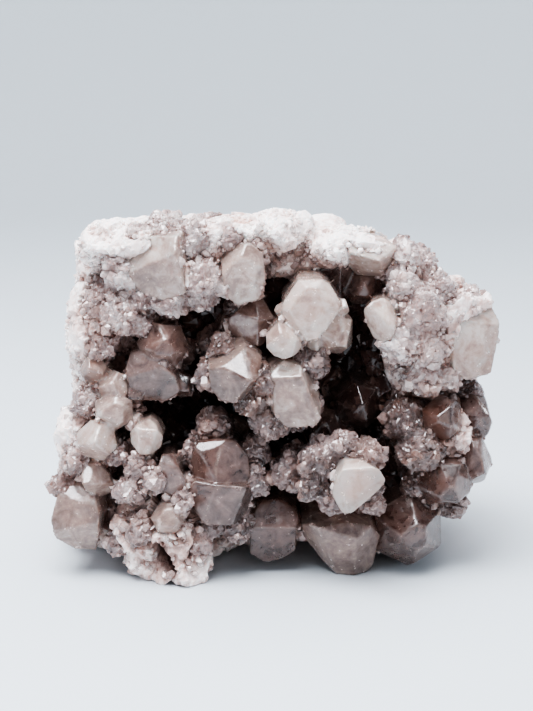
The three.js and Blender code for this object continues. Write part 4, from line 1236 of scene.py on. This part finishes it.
def makeDruseTree():
    tree = bpy.data.node_groups.new("druse", "GeometryNodeTree")
    addSockets(tree, "INPUT", {
        "Geometry": "Geometry", "Pointed": "Object", "Uneven": "Object", "Blunt": "Object",
        "Spacing": "Float", "Density": "Float", "Smallest": "Float", "Largest": "Float",
        "Tilt": "Float", "Sink": "Float", "Tone Spread": "Float", "Seed": "Int", "Material": "Material",
    })
    addSockets(tree, "OUTPUT", {"Geometry": "Geometry"})
    given = tree.nodes.new("NodeGroupInput").outputs

    def named(name):
        read = addNode(tree, "GeometryNodeInputNamedAttribute", {"Name": name}, data_type="FLOAT")
        return read.outputs[0]

    def random(low, high, seed, kind="FLOAT"):
        keys = (0, 1) if kind == "FLOAT_VECTOR" else (2, 3)
        values = {keys[0]: low, keys[1]: high, "Seed": seed}
        made = addNode(tree, "FunctionNodeRandomValue", values, data_type=kind)
        return made.outputs[0 if kind == "FLOAT_VECTOR" else 1]

    spots = addNode(tree, "GeometryNodeDistributePointsOnFaces", {
        "Mesh": given["Geometry"], "Distance Min": given["Spacing"], "Density Max": given["Density"],
        "Density Factor": named("cover"), "Seed": given["Seed"],
    }, distribute_method="POISSON")
    swing = mathNode(tree, "MULTIPLY", random(-1.0, 1.0, 3), given["Tone Spread"])
    spotted = addNode(tree, "GeometryNodeStoreNamedAttribute", {
        "Geometry": spots.outputs["Points"], "Name": "tone",
        "Value": mathNode(tree, "ADD", named("tone"), swing, True),
    }, data_type="FLOAT", domain="POINT").outputs[0]
    shapes = addNode(tree, "GeometryNodeJoinGeometry")
    for name in ("Pointed", "Uneven", "Blunt"):
        shape = addNode(tree, "GeometryNodeObjectInfo", {"Object": given[name], "As Instance": True})
        tree.links.new(shape.outputs["Geometry"], shapes.inputs[0])
    skewed = mathNode(tree, "POWER", random(0.0, 1.0, given["Seed"]), 2.0)
    span = mathNode(tree, "SUBTRACT", given["Largest"], given["Smallest"])
    size = mathNode(tree, "ADD", given["Smallest"], mathNode(tree, "MULTIPLY", skewed, span))
    size = mathNode(tree, "MULTIPLY", size, named("girth"))
    squash = random((0.75, 0.75, 0.7), (1.25, 1.25, 1.2), 7, "FLOAT_VECTOR")
    scale = addNode(tree, "ShaderNodeVectorMath", {0: squash, "Scale": size}, operation="SCALE").outputs[0]
    grown = addNode(tree, "GeometryNodeInstanceOnPoints", {
        "Points": spotted, "Instance": shapes.outputs[0], "Pick Instance": True,
        "Rotation": spots.outputs["Rotation"], "Scale": scale,
    }).outputs["Instances"]
    leaning = mathNode(tree, "MULTIPLY", given["Tilt"], -1.0)
    low = addNode(tree, "ShaderNodeCombineXYZ", {0: leaning, 1: leaning, 2: 0.0}).outputs[0]
    tilt = given["Tilt"]
    high = addNode(tree, "ShaderNodeCombineXYZ", {0: tilt, 1: tilt, 2: math.tau}).outputs[0]
    turned = addNode(tree, "GeometryNodeRotateInstances", {
        "Instances": grown, "Rotation": random(low, high, 19, "FLOAT_VECTOR"), "Local Space": True,
    }).outputs[0]
    drop = mathNode(tree, "MULTIPLY", mathNode(tree, "MULTIPLY", size, given["Sink"]), -1.0)
    sunk = addNode(tree, "GeometryNodeTranslateInstances", {
        "Instances": turned, "Local Space": True,
        "Translation": addNode(tree, "ShaderNodeCombineXYZ", {2: drop}).outputs[0],
    }).outputs[0]
    realized = addNode(tree, "GeometryNodeRealizeInstances", {0: sunk}).outputs[0]
    coat = {0: realized, "Material": given["Material"]}
    coated = addNode(tree, "GeometryNodeSetMaterial", coat).outputs[0]
    tree.links.new(coated, tree.nodes.new("NodeGroupOutput").inputs[0])
    return tree


druseTree = makeDruseTree()
druseSockets = {i.name: i.identifier for i in druseTree.interface.items_tree if i.in_out == "INPUT"}


def growDruse(name, base, cover, girth, slot, finishName, look):
    mesh = base.data.copy()
    setValues(mesh, "cover", np.clip(cover, 0, 1))
    setValues(mesh, "girth", girth)
    piece = newObject(name, mesh, finishName)
    modifier = piece.modifiers.new("druse", "NODES")
    modifier.node_group = druseTree
    shapes = dict(zip(("Pointed", "Uneven", "Blunt"), drusePoints))
    for key, value in {**look, **shapes, "Material": materials[finishName]}.items():
        modifier[druseSockets[key]] = value
    applyModifiers(piece)
    setPlaces(piece.data, keepInside(readVectors(piece.data, "co"), rock["spare"]))
    piece.data.shade_flat()
    hold(piece, slot)
    print(name, sum(len(p.vertices) - 2 for p in piece.data.polygons), "triangles")


clumpTone = np.array([c["look"][0] for c in crystals] + [0.0])[owner]
clumpStain = np.array([c["look"][1] for c in crystals] + [0.0])[owner]
# Druse on a crystal takes its clump's tone and bare druse the rock's, so both carry their painted shade
druseToneAndShade = np.where(owner >= 0, 0.4 * groundToneAndShade + 0.6 * (clumpTone + 0.1), groundToneAndShade)
setValues(ground.data, "tone", np.clip(druseToneAndShade, 0, 1))
setValues(ground.data, "stain", np.maximum(groundStain, clumpStain))

# A crystal's flanks look across its axis and its tip faces along it
planeNormals = np.zeros((len(groundPlaces), 3))
axes = np.zeros((len(groundPlaces), 3))
for index, one in enumerate(crystals):
    mine = owner == index
    planeNormals[mine] = one["planes"][plane[mine], :3]
    axes[mine] = one["axis"]
skirtedClumps = ("heart", "front", "twin", "crown", "crown_point", "left", "right_crown", "right_low")
skirted = np.isin(clumps, skirtedClumps)
onFlank = onCrystal & ~massed & skirted & (np.abs((planeNormals * axes).sum(axis=1)) < 0.35)

facing = -groundNormals[:, 1] + 0.3 * np.abs(groundNormals[:, 0])
front = smooth(-0.15, 0.35, facing) * smooth(0.012, 0.004, y)
offTable = smooth(0.0025, 0.005, z)
upward = smooth(0.3, 0.7, groundNormals[:, 2]) * smooth(0.085, 0.1, z)
leftWall = blob(across, down, *rock["leftWall"])
patches = smooth(-0.3, 0.2, noiseAt(groundPlaces, 13 * mm, 5.0))
plain = clumps == "lid"
even = np.ones(len(x))
cleftFree = 1 - cleftAt(across, down) * (y < 0)

massDruse = {
    "Spacing": 1.3 * mm, "Density": 700000.0, "Smallest": 1.3 * mm, "Largest": 4.2 * mm,
    "Tilt": 0.4, "Sink": 0.2, "Tone Spread": 0.12, "Seed": 4,
}
massPatches = smooth(0.0, 0.35, noiseAt(groundPlaces, 6 * mm, 15.0))
massCover = (massed & ~plain) * offTable * (y < 0.012) * massPatches * (1 - 0.7 * foot)
growDruse("mass_druse", ground, 0.8 * massCover, even, "pale_quartz", "sugarQuartz", massDruse)

wallDruse = dict(massDruse, Spacing=1.25 * mm, Smallest=1.3 * mm, Largest=3.4 * mm, Seed=5)
bare = ~onCrystal
thin = (1 - 0.8 * foot) * cleftFree * (1 - leftWall)
wallCover = bare * front * offTable * (1 - upward) * thin * (0.4 + 0.6 * patches)
growDruse("wall_druse", ground, wallCover, even, "matrix_rock", "sugarQuartz", wallDruse)

grainDruse = dict(wallDruse, Spacing=1.1 * mm, Smallest=0.9 * mm, Largest=2.0 * mm, Tilt=0.7, Seed=8)
grainCover = bare * np.maximum(leftWall * front, upward * smooth(0.03, 0.01, y)) * offTable * 0.8
growDruse("grains", ground, grainCover, even, "matrix_rock", "paleRock", grainDruse)

sideDruse = dict(wallDruse, Spacing=2.0 * mm, Smallest=1.3 * mm, Largest=3.6 * mm, Seed=6)
sideCover = bare * offTable * patches * (1 - front) * smooth(0.035, 0.0, y) * (groundNormals[:, 2] > -0.4)
growDruse("side_druse", ground, sideCover * (1 - upward), even, "matrix_rock", "sugarQuartz", sideDruse)

skirtDruse = dict(wallDruse, Spacing=1.2 * mm, Smallest=1.0 * mm, Largest=3.2 * mm, Seed=11)
low = smooth(0.5, -0.6, groundNormals[:, 2])
skirtPatches = smooth(-0.25, 0.25, noiseAt(groundPlaces, 7 * mm, 9.0))
skirtCover = onFlank * offTable * (0.1 + 0.9 * low) * skirtPatches
growDruse("skirt_druse", ground, skirtCover * (y < 0.002), even, "smoky_quartz", "sugarQuartz", skirtDruse)

hollowDruse = dict(
    wallDruse, Spacing=2.4 * mm, Smallest=2.5 * mm, Largest=9.0 * mm, Tilt=0.5, Sink=0.0, Seed=9
)
everywhere = np.ones(len(hollowLining.data.vertices))
growDruse("hollow_druse", hollowLining, everywhere, everywhere, "druse", "cavityQuartzPaintedShade", hollowDruse)

for piece in [ground, *drusePoints]:
    bpy.data.objects.remove(piece)
print("druse grown")


# Floor, light and camera

# A floor that curves up into walls all round
bowl = {"flat": 1.1, "bend": 0.8, "height": 2.2, "sides": 96}


def makeFloor():
    profile = [(bowl["flat"] * i / 3, 0.0) for i in range(1, 4)]
    for i in range(1, 13):
        turn = i * math.pi / 24
        profile.append((bowl["flat"] + bowl["bend"] * math.sin(turn), bowl["bend"] * (1 - math.cos(turn))))
    profile.append((bowl["flat"] + bowl["bend"], bowl["height"]))
    made = bmesh.new()
    middle = made.verts.new((0, 0, 0))
    rings = []
    for radius, height in profile:
        turns = [math.tau * i / bowl["sides"] for i in range(bowl["sides"])]
        rings.append([made.verts.new((radius * math.cos(a), radius * math.sin(a), height)) for a in turns])
    for i in range(bowl["sides"]):
        j = (i + 1) % bowl["sides"]
        made.faces.new((middle, rings[0][i], rings[0][j]))
        for inner, outer in zip(rings, rings[1:]):
            made.faces.new((inner[i], outer[i], outer[j], inner[j]))
    mesh = meshFrom(made, "floor")
    mesh.shade_smooth()
    floor = addObject("floor", mesh)
    material = bpy.data.materials.new("paleFloor")
    material.use_nodes = True
    shader = material.node_tree.nodes["Principled BSDF"]
    shader.inputs["Base Color"].default_value = linear(205, 210, 214)
    shader.inputs["Roughness"].default_value = 0.8
    mesh.materials.append(material)


def addLight(name, spot, target, size, power, color):
    light = bpy.data.lights.new(name, "AREA")
    light.shape = "RECTANGLE"
    light.size, light.size_y = size
    light.energy = power
    light.color = color
    lamp = addObject(name, light)
    lamp.location = spot
    lamp.rotation_euler = (Vector(target) - Vector(spot)).to_track_quat("-Z", "Y").to_euler()


def makeWorld(color, strength):
    world = bpy.data.worlds.new("studio")
    world.use_nodes = True
    back = world.node_tree.nodes["Background"]
    back.inputs["Color"].default_value = color
    back.inputs["Strength"].default_value = strength
    bpy.context.scene.world = world


def makeCamera():
    camera = bpy.data.cameras.new("camera")
    camera.sensor_width = 36
    camera.sensor_fit = "AUTO"
    camera.lens = view["focal"] * camera.sensor_width / view["height"]
    viewer = addObject("camera", camera)
    viewer.location = [c * mm for c in view["eye"]]
    viewer.rotation_euler = Euler((math.radians(90 - view["pitch"]), 0, 0))
    bpy.context.scene.camera = viewer


makeFloor()
makeWorld(color=(0.97, 0.98, 1.0, 1.0), strength=0.25)
addLight(
    "overhead", spot=(0, 0, 2.1), target=(0, 0, 0), size=(2.6, 2.6), power=51, color=(0.92, 0.95, 1.0),
)
addLight(
    "skylight", spot=(-0.18, -0.22, 0.75), target=(0, 0, 0.06), size=(0.6, 0.45), power=9.5,
    color=(0.9, 0.94, 1.0),
)
addLight(
    "fill", spot=(0.2, -1.0, 0.3), target=(0, 0, 0.05), size=(0.5, 0.4), power=0.8,
    color=(1.0, 0.86, 0.76),
)
makeCamera()
bpy.context.scene.view_settings.look = "AgX - High Contrast"
